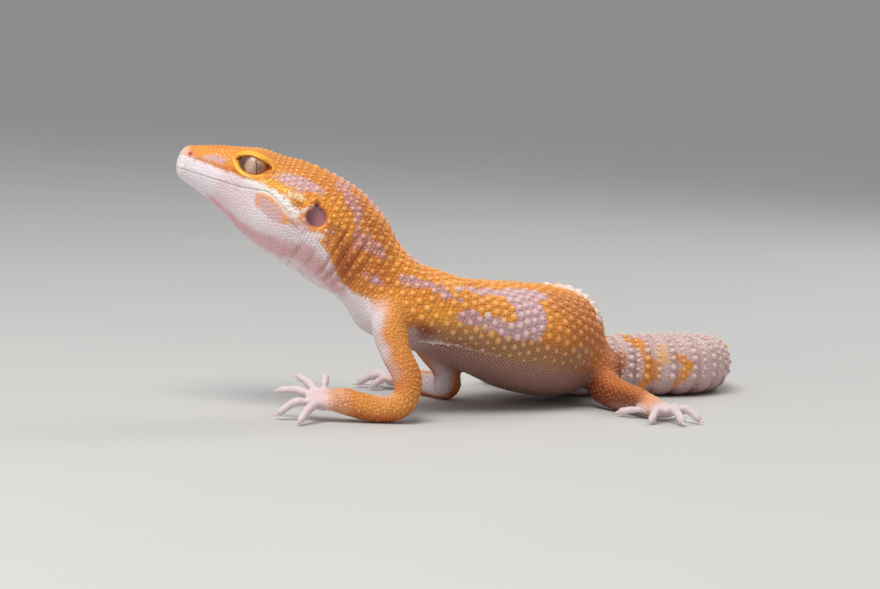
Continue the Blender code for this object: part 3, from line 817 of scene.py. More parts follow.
# %% Limb meshes
LEG_CHART = 1                   # the four legs have charts 1 to 4, the four palms 5 to 8
PALM_CHART = 5
TOE_CHART = 9
LID_CHART = 10
CUT_CHART = 11                  # what the cuts leave: lips, nostrils and the eyes' windows
LIMB_RINGS, LIMB_SIDES, TOE_RINGS, TOE_SIDES = 76, 36, 17, 14
limb_shares = np.linspace(0.0, 1.0, LIMB_RINGS)
toe_end = 1.0 - TOE_DOME * (1 - np.sin(np.radians((25, 50, 70, 84))))
toe_shares = np.concatenate((np.linspace(0.0, 0.9, TOE_RINGS), toe_end))
limb_parts = []
for number, (name, path) in enumerate(LIMBS.items()):
    palm = list(FEET.values())[number][0]
    points = carry((*path, (*palm, WRIST_RADIUS)), limb_shares, LIMB_SIDES, leg_radius)
    limb_parts.append(add_piece(name, grid_mesh(name, points, LEG_CHART + number)))
for foot_number, (name, (palm, sizes, roll, toes)) in enumerate(FEET.items()):
    mesh = grid_mesh(name, palm_grid(palm, sizes, roll), PALM_CHART + foot_number)
    limb_parts.append(add_piece(name + "_palm", mesh))
    for number, (*toe_tip, lift) in enumerate(toes, 1):
        points = carry(toe_path(palm, toe_tip, lift), toe_shares, TOE_SIDES, toe_radius)
        limb_parts.append(add_piece(f"{name}_toe_{number}", grid_mesh("toe", points, TOE_CHART)))
print(len(limb_parts), "limb parts")


# %% Joining and cutting
def boolean(target, operands, operation):
    """One exact Boolean of an object with several others, which are used up by it."""
    group = bpy.data.collections.new("operands")
    bpy.context.scene.collection.children.link(group)
    for operand in operands:
        group.objects.link(operand)
    modifier = target.modifiers.new(operation.title(), "BOOLEAN")
    modifier.operation = operation
    modifier.operand_type = "COLLECTION"
    modifier.solver = "MANIFOLD"
    modifier.collection = group
    depsgraph = bpy.context.evaluated_depsgraph_get()
    mesh = bpy.data.meshes.new_from_object(target.evaluated_get(depsgraph))
    target.modifiers.clear()
    target.data = mesh
    for operand in operands:
        bpy.data.objects.remove(operand)
    bpy.data.collections.remove(group)


skin = add_piece("skin", body_mesh)
boolean(skin, limb_parts, "UNION")
print("skin after joining the limbs:", len(skin.data.polygons), "faces")

# %% [markdown]
# ## Eye windows, lids, lips and nostrils
#
# The face needs crisp edges, which a moved grid can't give. So the eye's window, the line
# between the lips and the nostrils are cut, each by a surface made for it. A lid is a fleshy
# rim: a rounded section carried round the almond of the eye, from the rim that touches the
# eyeball to the one that sinks into the face. It is joined to the skin before the eyeball's own
# round is cut out, so the lid sits on the eye as a real one does.

# %% Shapes of the face
EYE = (14.2, 4.8, 3.2)          # back, out, up of the eyeball's middle
EYE_RADIUS = 3.0
EYE_SLACK = 0.03
LID_INNER = ((11.35, 4.0), (12.1, 4.85), (13.4, 5.25), (15.3, 4.95), (17.15, 4.1),
             (16.2, 2.85), (14.6, 2.2), (12.5, 2.55))
LID_OUTER = ((10.2, 3.8), (11.4, 5.45), (13.5, 6.15), (16.1, 5.75), (18.4, 4.5),
             (17.4, 2.4), (15.0, 1.35), (11.9, 1.85))
LID_SECTION = (                 # share from the inner rim to the outer one, lift off the face
    (0.0, 0.02), (0.03, 0.20), (0.14, 0.38), (0.34, 0.50), (0.58, 0.47), (0.80, 0.27),
    (0.98, 0.02), (1.12, -0.35), (0.75, -0.8), (0.35, -0.9), (0.05, -0.6), (-0.04, -0.25),
)
LID_POINTS, LID_SECTION_POINTS = 84, 22
LID_CLEARANCE = 0.10
LID_OUT = 6.0
BESIDE_FACE = 20.0
WINDOW_SHARE = 0.4              # between the lid's inner rim and its outer one
WINDOW_DEPTH = 9.0
BALL_LATITUDE = 87.0
MOUTH = (                       # back, up
    (-5.0, -0.55), (0.5, -0.5), (5.2, -0.5), (8.9, -0.55), (12.8, -0.6), (15.8, -0.25), (18.2, -0.1),
    (20.9, -1.4), (23.4, -2.9),
)
MOUTH_GAP = 0.048
NOSTRIL = (2.3, 3.1, 2.6)
NOSTRIL_RADIUS = 0.42
MOUTH_CORNER = (20.5, 23.4)


def closed_curve(points, count):
    """A smooth closed curve through points: the open curve run over a wrapped copy of them."""
    points = np.asarray(points, float)
    wrapped = np.concatenate((points[-3:], points, points[:4]))
    knots = np.arange(len(wrapped), dtype=float)
    return smooth(knots, wrapped, np.linspace(3.0, 3.0 + len(points), count, endpoint=False))


def eye_cover(back, up, extra):
    """How far out the eyeball reaches at a place on the side of the head."""
    inside = (EYE_RADIUS + extra)**2 - (back - EYE[0])**2 - (up - EYE[2])**2
    return EYE[1] + np.sqrt(np.maximum(inside, 0.01))


def on_face(tree, side, back, up):
    """Points of the face at places seen from its side; where a ray misses, the nearest point."""
    found = []
    for place in to_model(head_point(back, side * BESIDE_FACE, up)):
        hit = tree.ray_cast(Vector(place), Vector((0.0, -side, 0.0)))[0]
        beside = Vector((place[0], place[1] - side * (BESIDE_FACE - LID_OUT) * MM, place[2]))
        found.append(hit or tree.find_nearest(beside)[0])
    return np.array(found) / MM + ORIGIN


def lid_rims(tree, side):
    """The lid's inner rim on the eyeball and its outer rim on the face."""
    inner, outer = closed_curve(LID_INNER, LID_POINTS), closed_curve(LID_OUTER, LID_POINTS)
    cover = eye_cover(inner[:, 0], inner[:, 1], LID_CLEARANCE)
    inner_rim = head_point(inner[:, 0], side * cover, inner[:, 1])
    return inner_rim, on_face(tree, side, outer[:, 0], outer[:, 1])


def lid_grid(tree, side):
    """The lid as rings round the eye: a closed section between its inner and outer rims.

    The inner rim lies on the eyeball and the outer one on the face. A point of the section is the
    mean of the two rims by its share, lifted away from the eye's middle.
    """
    inner_rim, outer_rim = lid_rims(tree, side)
    section = closed_curve(LID_SECTION, LID_SECTION_POINTS)
    share, lift = section[:, 0][None, :, None], section[:, 1][None, :, None]
    flat = inner_rim[:, None, :] * (1 - share) + outer_rim[:, None, :] * share
    away = flat - head_point(EYE[0], side * EYE[1], EYE[2])
    away /= np.linalg.norm(away, axis=-1)[..., None]
    return flat + lift * away


def ring_mesh(name, points, chart):
    """A mesh over a grid that closes on itself both ways, as a ring does."""
    rows, sides = points.shape[:2]
    quads = ring_quads(rows, sides, joined=True)
    vertices = points.reshape(-1, 3)
    a, b, c, d = (vertices[quads[:, k]] for k in range(4))
    volume = np.einsum("ij,ij->i", a, np.cross(b, c) + np.cross(c, d)).sum()
    return placed_mesh(name, vertices, [(quads, *quad_places(rows, sides))], volume < 0, chart)


def ball_mesh(name, centre, radius, rings=24, sides=32):
    """A ball that cuts, by latitude and longitude."""
    return grid_mesh(name, centre + radius * unit_sphere(BALL_LATITUDE, rings, sides), CUT_CHART)


def window_grid(tree, side):
    """A prism through the face along the middle of the lid's band."""
    inner_rim, outer_rim = lid_rims(tree, side)
    middle = head_local(inner_rim * (1.0 - WINDOW_SHARE) + outer_rim * WINDOW_SHARE)
    reach = np.linspace(EYE[1], EYE[1] + WINDOW_DEPTH, 6)
    return head_point(middle[None, :, 0], side * reach[:, None], middle[None, :, 2])


def lips_grid():
    """A thin curved blade between the lips, from side to side, that thins towards the corner."""
    knots, heights = np.array(MOUTH)[:, 0], np.array(MOUTH)[:, 1:]
    back = np.linspace(knots[0], knots[-1], 70)
    up = smooth(knots, heights, back)[:, 0]
    half = MOUTH_GAP * (1.0 - 0.8 * step(back, *MOUTH_CORNER))
    out = np.linspace(-15.0, 15.0, 3)
    across = np.concatenate((out, out[::-1]))
    lift = np.array((1, 1, 1, -1, -1, -1))
    return head_point(back[:, None], across[None, :], up[:, None] + half[:, None] * lift[None, :])


print("mouth", round(MOUTH[-1][0] - MOUTH[0][0], 1), "mm long, eye of radius", EYE_RADIUS, "mm")

# %% Cutting the windows and joining the lids
SIDES = {"left": -1, "right": 1}
face_tree = BVHTree.FromObject(skin, bpy.context.evaluated_depsgraph_get())
lids, sockets = [], []
cutters = [add_piece("lips_blade", grid_mesh("lips", lips_grid(), CUT_CHART))]
for side in SIDES.values():
    lids.append(add_piece("lid", ring_mesh("lid", lid_grid(face_tree, side), LID_CHART)))
    window = grid_mesh("window", window_grid(face_tree, side), CUT_CHART)
    nostril = head_point(NOSTRIL[0], side * NOSTRIL[1], NOSTRIL[2])
    nostril = ball_mesh("nostril", nostril, NOSTRIL_RADIUS, 12, 16)
    cutters.extend((add_piece("window", window), add_piece("nostril", nostril)))
    socket = ball_mesh("socket", head_point(EYE[0], side * EYE[1], EYE[2]), EYE_RADIUS + EYE_SLACK)
    sockets.append(add_piece("socket", socket))
boolean(skin, cutters, "DIFFERENCE")
boolean(skin, lids, "UNION")
boolean(skin, sockets, "DIFFERENCE")
print("skin with its face cut:", len(skin.data.polygons), "faces")


# %% [markdown]
# ## Flowing junctions
#
# A Boolean leaves a crease where a leg meets the body. Skin has none, so the points near each
# junction are drawn towards the mean of their neighbours, strongly at the crease and less with
# distance from it. The inner bend of the left elbow, where the tube folds tightly, is smoothed
# in the same way.

# %% Smoothing the junctions
def mesh_arrays(mesh):
    """Positions in millimetres, edges, and the corners' vertices and places of a mesh."""
    points = np.empty(3 * len(mesh.vertices))
    mesh.vertices.foreach_get("co", points)
    edges = np.empty(2 * len(mesh.edges), int)
    mesh.edges.foreach_get("vertices", edges)
    corners = np.empty(len(mesh.loops), int)
    mesh.loops.foreach_get("vertex_index", corners)
    place = np.empty(2 * len(mesh.loops))
    mesh.uv_layers["place"].data.foreach_get("uv", place)
    return points.reshape(-1, 3) / MM + ORIGIN, edges.reshape(-1, 2), corners, place.reshape(-1, 2)


# how far the smoothing reaches from a junction with the body, a leg, or a palm or toe, by chart
JUNCTIONS = ((2.6, (0,)), (1.2, range(LEG_CHART, PALM_CHART)), (0.8, range(PALM_CHART, LID_CHART)))
INNER_ELBOW = np.array((-7.6, -12.4, 5.6))
ELBOW_REACH = 2.0
SMOOTHING_ROUNDS = 60
SPREAD_ROUNDS = 40
FLOOR_CLEARANCE = 0.03


def spread(points, edges, start):
    """Distance from the start along edges, relaxed many times over all edges at once."""
    length = np.linalg.norm(points[edges[:, 0]] - points[edges[:, 1]], axis=1)
    distance = np.where(start, 0.0, 1e3)
    for _ in range(SPREAD_ROUNDS):
        before = distance.copy()
        np.minimum.at(distance, edges[:, 0], before[edges[:, 1]] + length)
        np.minimum.at(distance, edges[:, 1], before[edges[:, 0]] + length)
    return distance


points, edges, corners, place = mesh_arrays(skin.data)
chart = np.floor(place[:, 0] / CHART_STEP + 1e-6).astype(int)
lowest = np.full(len(points), CUT_CHART)
highest = np.zeros(len(points), int)
np.minimum.at(lowest, corners, chart)
np.maximum.at(highest, corners, chart)
between = (lowest != highest) & (highest < LID_CHART)
from_elbow = np.linalg.norm(points - INNER_ELBOW, axis=1)
weight = np.exp(-(from_elbow / ELBOW_REACH)**4)
for reach, charts in JUNCTIONS:
    apart = spread(points, edges, between & np.isin(lowest, charts))
    weight = np.maximum(weight, hill(apart, 0.0, reach))
weight = weight[:, None]
degree = np.bincount(edges.ravel(), minlength=len(points))[:, None]


def to_neighbours(values):
    """From each point's value to the mean of its neighbours' values."""
    first, second = edges.T
    total = np.stack([np.bincount(first, column[second], len(values))
                      + np.bincount(second, column[first], len(values)) for column in values.T], -1)
    return total / degree - values


for _ in range(SMOOTHING_ROUNDS):
    points += 0.5 * weight * to_neighbours(points)
points[:, 2] = np.maximum(points[:, 2], FLOOR_CLEARANCE)
skin.data.vertices.foreach_set("co", to_model(points).ravel())
skin.data.update()
print("junction points smoothed:", int((weight > 0.1).sum()))

# %% [markdown]
# ## Markings
#
# The animal is orange above and pale below, with lavender patches, a white stripe behind the
# mouth, banded tail and white inner arms. Some bands are painted shade and not the animal's colour:
# over the crown and the rear flank, in the armpit, under the eye's rear corner and along the neck's
# folds. Each marking is a rounded band: a few places in length along the spine and degrees from the
# middle of the back, with a radius at each. The distance to it is shifted by noise, so its edge
# wanders as a real one does. One formula gives the colour of the skin and of every scale on it, on
# both flanks, with other noise on the other side. It also paints shade on the belly, in the grooves
# of the tail and the neck, and on the sides and undersides of the legs.

# %% Noise and bands
GIRTH_AT = np.array((-2.0, 2.0, 7.0, 15.0, 23.0, 36.0, 45.0, 55.0, 68.0, 78.0, 87.0, 95.0, 103.0, 130.0,
                     155.0, 174.0))
GIRTH = np.array((2.0, 3.8, 5.4, 8.4, 10.4, 9.0, 8.0, 9.4, 11.0, 12.4, 12.0, 10.0, 7.4, 6.6, 4.4, 1.6))


def degree_length(at):
    """Millimetres round the body for one degree at a length along the spine."""
    return np.interp(at, GIRTH_AT, GIRTH) * math.pi / 180.0


def lattice(cell, seed):
    """A repeatable number from -1 to 1 for every corner of a lattice."""
    mixed = cell[..., 0] * 73856093 ^ cell[..., 1] * 19349663 ^ cell[..., 2] * 83492791 ^ seed * 7919
    mixed = (mixed ^ (mixed >> 13)) * 1274126177
    return ((mixed ^ (mixed >> 16)) & 0xFFFF) / 32767.5 - 1.0


def cloud(points, size, seed):
    """Value noise of a size in millimetres: eight lattice numbers blended by smooth weights."""
    place = points / size + 100.0
    cell = np.floor(place).astype(np.int64)
    t = place - cell
    t = t * t * (3.0 - 2.0 * t)
    total = np.zeros(len(points))
    for corner in np.ndindex(2, 2, 2):
        weight = np.prod(np.where(np.array(corner) == 1, t, 1.0 - t), axis=-1)
        total += weight * lattice(cell + np.array(corner), seed)
    return total


def band(at, around, path):
    """Distance in millimetres to a rounded band, negative inside it."""
    girth = degree_length(at)
    best = np.full(at.shape, 99.0)
    for (at0, turn0, wide0), (at1, turn1, wide1) in zip(path[:-1], path[1:]):
        along, across = at1 - at0, (turn1 - turn0) * girth
        ahead, aside = at - at0, (around - turn0) * girth
        t = np.clip((ahead * along + aside * across) / (along**2 + across**2 + 1e-6), 0.0, 1.0)
        apart = np.hypot(ahead - t * along, aside - t * across)
        best = np.minimum(best, apart - wide0 - (wide1 - wide0) * t)
    return best


print("one degree round the trunk is", round(float(degree_length(80.0)), 2), "mm long")

# %% Colours and markings
GOLD = paint(233, 146, 48)
CROWN = paint(212, 122, 32)
AMBER = paint(194, 106, 34)
# painted shade for the folds of the neck and throat
FOLD_PAINTED_SHADE = paint(176, 88, 40)
YELLOW = paint(250, 188, 60)
LAVENDER = paint(208, 168, 176)
LILAC = paint(198, 150, 164)
WHITE = paint(246, 236, 228)
PEARL = paint(236, 222, 226)
ROSE = paint(224, 172, 178)
# the belly's mauve, made darker as painted shade
BELLY_WITH_PAINTED_SHADE = paint(150, 102, 96)
SAND = paint(168, 118, 80)
MAUVE = paint(176, 116, 122)
# painted shade for the lid's edge against the eyeball
LID_EDGE_PAINTED_SHADE = paint(96, 50, 44)
TAIL_PALE = paint(214, 184, 180)
# painted shade for the top of the head and the nape
CROWN_PAINTED_SHADE = paint(208, 120, 34)
# painted shade, a deeper orange, for the rear of the flank
REAR_FLANK_PAINTED_SHADE = paint(190, 98, 20)
# painted shadow under the eye's rear corner
EYE_CORNER_PAINTED_SHADOW = paint(112, 56, 26)
EAR_SHADE = paint(176, 108, 100)
# the armpit's reddish skin, darkened as painted shadow in its pocket
ARMPIT_RED_AND_PAINTED_SHADOW = paint(140, 58, 46)
NOSTRIL_RED = paint(222, 128, 108)
CUT_PINK = paint(190, 112, 100)
# each marking: colour, strength, how soft its edge is, how far its edge wanders, its bands
UNDER_MARKINGS = (
    # painted shade: the crown and nape made darker
    (CROWN_PAINTED_SHADE, 0.7, 2.0, 1.0, (((17.0, 22.0, 3.0), (24.0, 30.0, 3.5), (30.0, 32.0, 3.5)),)),
    # painted shade: the rear flank darker where less light reaches it
    (REAR_FLANK_PAINTED_SHADE, 0.8, 2.6, 1.2, (((80.0, 44.0, 4.0), (86.0, 56.0, 5.0), (86.0, 86.0, 4.0)),)),
    (AMBER, 0.9, 2.5, 1.2, (
        ((82.0, 70.0, 4.0), (88.0, 80.0, 5.0)),
        ((66.0, 104.0, 2.0), (80.0, 96.0, 3.0)))),
    (SAND, 0.9, 2.2, 1.0, (
        ((52.0, 123.0, 2.4), (60.0, 119.0, 3.8), (72.0, 115.0, 4.0), (84.0, 106.0, 2.8)),)),
    (YELLOW, 0.25, 1.8, 0.9, (
        ((51.0, 92.0, 1.4), (58.0, 86.0, 1.4)),
        ((38.0, 104.0, 1.5), (44.0, 98.0, 1.5)))),
    (AMBER, 0.8, 2.0, 1.4, (
        ((31.0, 44.0, 2.2), (37.0, 52.0, 2.6), (40.0, 84.0, 2.4), (37.0, 104.0, 2.0)),)),
    # painted shade along the neck's folds
    (FOLD_PAINTED_SHADE, 0.9, 1.4, 0.8, (((30.2, 84.0, 0.8), (32.6, 96.0, 1.2), (35.2, 118.0, 1.2)),)),
)
MARKINGS = (
    (LAVENDER, 0.85, 0.5, 0.4, (((3.3, 57.0, 0.5), (6.4, 56.0, 0.65)),)),
    (AMBER, 0.8, 0.35, 0.15, (
        ((1.2, 66.0, 0.25), (4.6, 70.0, 0.35), (7.8, 73.0, 0.45), (9.8, 72.0, 0.5)),)),
    (LAVENDER, 0.85, 0.6, 0.8, (
        ((17.0, 57.0, 0.5), (19.0, 54.0, 1.1), (21.0, 50.0, 1.6), (23.4, 51.0, 1.3)),)),
    (YELLOW, 0.9, 0.4, 0.35, (
        ((14.5, 70.0, 0.5), (17.0, 66.0, 0.5), (20.2, 68.0, 0.55), (23.0, 71.0, 0.5)),)),
    (WHITE, 1.0, 0.35, 0.3, (
        ((11.8, 79.0, 0.4), (14.6, 77.5, 0.7), (17.5, 77.5, 0.95), (19.8, 80.0, 0.9),
         (22.0, 85.0, 0.7)),)),
    (WHITE, 0.5, 0.4, 0.5, (((19.6, 68.5, 0.3), (22.6, 69.0, 0.4)),)),
    (GOLD, 0.85, 0.4, 0.5, (((15.2, 92.0, 1.1), (17.2, 88.0, 1.2), (20.2, 93.0, 0.8)),)),
    (LAVENDER, 0.85, 0.4, 0.5, (((15.9, 93.5, 0.9), (18.4, 93.0, 1.3)),)),
    (AMBER, 0.75, 0.4, 0.3, (
        ((21.4, 77.0, 0.5), (22.4, 76.0, 0.5)),
        ((21.6, 93.0, 0.4), (23.2, 95.0, 0.5)))),
    (ROSE, 0.7, 0.5, 0.2, (((24.0, 87.0, 0.6), (24.6, 97.0, 0.7)),)),
    (WHITE, 0.9, 0.25, 0.15, (
        ((22.3, 88.5, 0.2), (23.3, 80.5, 0.25), (24.2, 73.0, 0.2)),
        ((25.4, 98.0, 0.45), (27.6, 95.0, 0.5)))),
    # painted shadow under the eye's rear corner, where the lower lid ends
    (EYE_CORNER_PAINTED_SHADOW, 0.75, 0.25, 0.05, (((15.1, 59.0, 0.1), (16.3, 51.0, 0.18)),)),
    (EAR_SHADE, 0.65, 0.6, 0.5, (((28.4, 87.0, 0.5), (29.0, 96.0, 0.8)),)),
    (LILAC, 0.6, 0.6, 1.3, (
        ((27.0, 26.0, 1.0), (29.4, 40.0, 1.1), (32.4, 60.0, 1.1), (33.4, 80.0, 1.1)),
        ((33.4, 77.0, 1.1), (36.0, 72.0, 1.0), (38.6, 69.0, 0.7)))),
    (LAVENDER, 0.6, 1.0, 1.2, (((26.0, 4.0, 1.4), (34.0, 6.0, 2.2), (46.0, 4.0, 1.6)),)),
    (LILAC, 0.85, 0.35, 0.9, (
        ((37.8, 101.0, 0.7), (40.8, 95.0, 0.7)),
        ((43.4, 73.0, 0.5), (45.2, 62.0, 0.8)),
        ((45.2, 61.0, 0.8), (47.5, 59.0, 0.7), (49.8, 55.0, 0.9)),
        ((49.8, 56.0, 0.8), (51.2, 66.0, 1.0), (53.5, 68.0, 0.9)),
        ((55.0, 88.0, 0.9), (57.4, 89.0, 1.0)))),
    (LAVENDER, 0.95, 0.35, 0.8, (
        ((53.5, 48.0, 0.6), (56.8, 45.0, 0.7), (61.0, 40.5, 0.9), (65.2, 37.0, 1.5), (70.0, 36.0, 2.3),
         (73.8, 35.0, 2.1)),
        ((66.2, 49.0, 2.1), (70.8, 52.0, 2.6)),
        ((67.8, 66.0, 2.4), (71.2, 64.0, 2.6), (71.4, 82.0, 2.1)),
        ((59.4, 89.5, 1.2), (64.0, 90.0, 1.5), (67.6, 87.0, 2.1)))),
    # the armpit's reddish skin with the painted shadow of its pocket
    (ARMPIT_RED_AND_PAINTED_SHADOW, 0.85, 0.9, 0.3, (((50.6, 117.0, 0.6), (51.4, 126.0, 1.1), (51.8, 136.0, 0.8)),)),
    (WHITE, 0.75, 0.2, 0.08, (
        ((51.8, 143.0, 0.12), (53.6, 134.5, 0.2), (56.2, 131.0, 0.2), (60.4, 128.0, 0.14),
         (65.0, 126.0, 0.05)),)),
    (WHITE, 0.85, 0.6, 0.8, (
        ((88.2, 2.0, 1.2), (90.2, 12.0, 1.8), (91.6, 29.0, 2.4), (92.2, 42.0, 2.5), (92.2, 55.0, 2.0),
         (90.6, 64.0, 1.1), (88.6, 73.0, 0.5)),
        ((94.0, 0.0, 3.0), (102.0, 0.0, 4.0)))),
)
TAIL_MARKINGS = (
    (AMBER, 0.8, 0.6, 0.6, (((111.4, 66.0, 1.0), (111.8, 88.0, 1.4)),)),
    (GOLD, 0.95, 0.5, 1.1, (
        ((114.4, 20.0, 1.0), (116.0, 40.0, 1.2), (117.4, 70.0, 1.4), (118.2, 98.0, 1.4)),
        ((118.4, 96.0, 1.2), (117.6, 116.0, 1.1), (117.0, 134.0, 0.8)),
        ((122.6, 70.0, 1.2), (124.2, 90.0, 1.3), (123.6, 112.0, 1.0), (122.8, 124.0, 0.7)),
        ((137.6, 30.0, 1.1), (139.0, 62.0, 1.2)),
        ((151.0, 12.0, 1.0), (152.0, 46.0, 1.1)))),
    (YELLOW, 0.6, 0.5, 0.4, (((119.9, 46.0, 0.7), (120.2, 76.0, 0.8)),)),
)
THROAT = ((6.0, 152.0, 1.0), (13.8, 146.0, 1.7), (19.0, 136.0, 2.2), (25.5, 123.0, 1.9), (30.5, 130.0, 1.8),
          (35.2, 146.0, 1.5))
# places along the body or round it where a smooth step or a plateau starts and ends
BELLY_START, BELLY_END = (46.0, 56.0), (88.0, 100.0)
SOFT_BORDER_START, SOFT_BORDER_END = (47.0, 58.0), (88.0, 96.0)
SOFTNESS, MORE_SOFTNESS = 2.5, 7.0
TAIL_EDGE = (98.5, 101.5)
UNDER_TAIL = (105.0, 150.0)
NOSTRIL_EDGE = (0.5, 1.0)
EAR_INSIDE = (-0.35, 0.05)
SNOUT_TIP = (-1.7, 0.3)
OTHER_SIDE = 40.0               # shift of the noise on the animal's right
print(len(UNDER_MARKINGS) + len(MARKINGS) + len(TAIL_MARKINGS), "markings")


# %% Colour of the body
def even(colour, like):
    """One colour for every row of a table of colours."""
    return np.broadcast_to(colour, like.shape)


def lay(colour, layer, mask):
    """Put a layer over a colour by a mask from 0 to 1."""
    return colour * (1.0 - mask[..., None]) + layer * mask[..., None]


def mark(colour, at, around, markings, wander_by):
    """Lay each marking over a colour, its edge shifted by a noise."""
    for layer, strength, soft, wander, paths in markings:
        near = np.minimum.reduce([band(at, around, path) for path in paths]) + wander * wander_by
        colour = lay(colour, layer, strength * (1.0 - step(near, -soft, soft)))
    return colour


def body_colour(at, turn, points):
    """Colour of the head, neck, trunk and tail from the place on them.

    Gold with clouds of other oranges and the broad markings, among them painted shade on the crown,
    the rear flank and the neck's folds; then the pale underside with painted shade on the belly, the
    throat's band, the fine markings with painted shadows in the armpit and under the eye, the tail
    with painted shade under it and in its grooves, and last the nostril, ear, snout and painted shade
    in the creases.
    """
    signed = from_back(turn)
    around = np.abs(signed)
    here = points + np.where(signed > 0, 0.0, OTHER_SIDE)[:, None]
    wide, fine = cloud(here, 6.0, 11), 0.8 * cloud(here, 2.2, 12) + 0.4 * cloud(here, 0.9, 13)
    colour = lay(even(GOLD, points), CROWN, step(wide, -0.1, 0.9) * 0.8)
    colour = lay(colour, YELLOW, step(cloud(here, 3.5, 14), 0.2, 0.9) * 0.35)
    colour = mark(colour, at, around, UNDER_MARKINGS, fine)
    border = np.interp(at, BORDER_AT, BORDER) + 3.0 * fine
    pale = lay(even(PEARL, points), ROSE, step(cloud(here, 5.0, 15), 0.0, 0.8) * 0.4)
    # the belly's mauve with painted shade
    pale = lay(pale, BELLY_WITH_PAINTED_SHADE, plateau(at, BELLY_START, BELLY_END))
    soft = SOFTNESS + MORE_SOFTNESS * plateau(at, SOFT_BORDER_START, SOFT_BORDER_END)
    below = step(around, border - soft, border + soft + 1.0)
    colour = lay(colour, pale, below)
    throat = band(at, around, THROAT) + 0.8 * fine
    colour = lay(colour, ROSE, (1.0 - step(throat, -1.0, 1.6)) * below)
    colour = mark(colour, at, around, MARKINGS, fine)
    tail = lay(even(TAIL_PALE, points), ROSE, step(wide, 0.1, 0.9) * 0.5)
    # painted shade: the tail's underside darker with the belly's colour
    tail = lay(tail, BELLY_WITH_PAINTED_SHADE, step(around, *UNDER_TAIL) * 0.7)
    tail = mark(tail, at, around, TAIL_MARKINGS, fine)
    colour = lay(colour, tail, step(at + 1.5 * fine, *TAIL_EDGE))
    # painted shade: mauve in the grooves between the tail's rings
    colour = lay(colour, MAUVE, whorl_groove(at, 0.10) * 0.25)
    back, out, up = head_local(points).T
    from_nostril = np.hypot(back - NOSTRIL[0], up - NOSTRIL[2])
    colour = lay(colour, NOSTRIL_RED, (1.0 - step(from_nostril, *NOSTRIL_EDGE)) * (np.abs(out) > 1.5))
    inside_ear = (1.0 - step(ear_edge(back, up), *EAR_INSIDE)) * (np.abs(out) > BESIDE_EAR)
    colour = lay(colour, MAUVE * 0.75, inside_ear * (at < HEAD_REACH))
    colour = lay(colour, WHITE, (1.0 - step(at + 0.4 * fine, *SNOUT_TIP)) * 0.7)
    # painted shade: the folds of neck and throat darker by their depth
    crease = -folds(at, around, *NECK_FOLDS) - folds(at, around, *THROAT_FOLDS)
    return lay(colour, FOLD_PAINTED_SHADE, np.clip(crease * 1.6, 0.0, 1.0) * step(145.0 - around, 0.0, 25.0) * 0.7)


middle_of_back = body_tube(np.array((80.0,)), np.array((math.pi / 2,)))[0]
back_colour = body_colour(np.array((80.0,)), np.array((math.pi / 2,)), middle_of_back)
print("colour half way along the back:", np.round(back_colour[0], 2))

# %% Colour of the limbs
FLEXOR = np.array((-0.82, -0.1, 0.45))
FAR_FLEXOR = np.array((-0.35, -0.9, 0.25))
INNER_FOREARM = np.array((-0.1, 0.5, 0.85))
WRIST_GOLD = paint(232, 156, 100)
DIGIT = paint(222, 207, 210)
HAND = paint(224, 200, 200)
# painted shade: the second colour on each line darkens a limb where it faces down, the last one the legs'
# sides
ARM, ARM_UNDERSIDE_PAINTED_SHADE = paint(224, 144, 60), paint(190, 88, 24)
LEG, LEG_UNDERSIDE_PAINTED_SHADE, LEG_SIDE_PAINTED_SHADE = paint(192, 102, 36), paint(120, 46, 16), paint(122, 46, 8)
# shares of a limb's length where a smooth step or a plateau starts and ends
UPPER_ARM_END, FOREARM_START, FOREARM_END = (0.40, 0.56), (0.40, 0.52), (0.66, 0.84)
FAR_ARM_END = (0.70, 0.86)


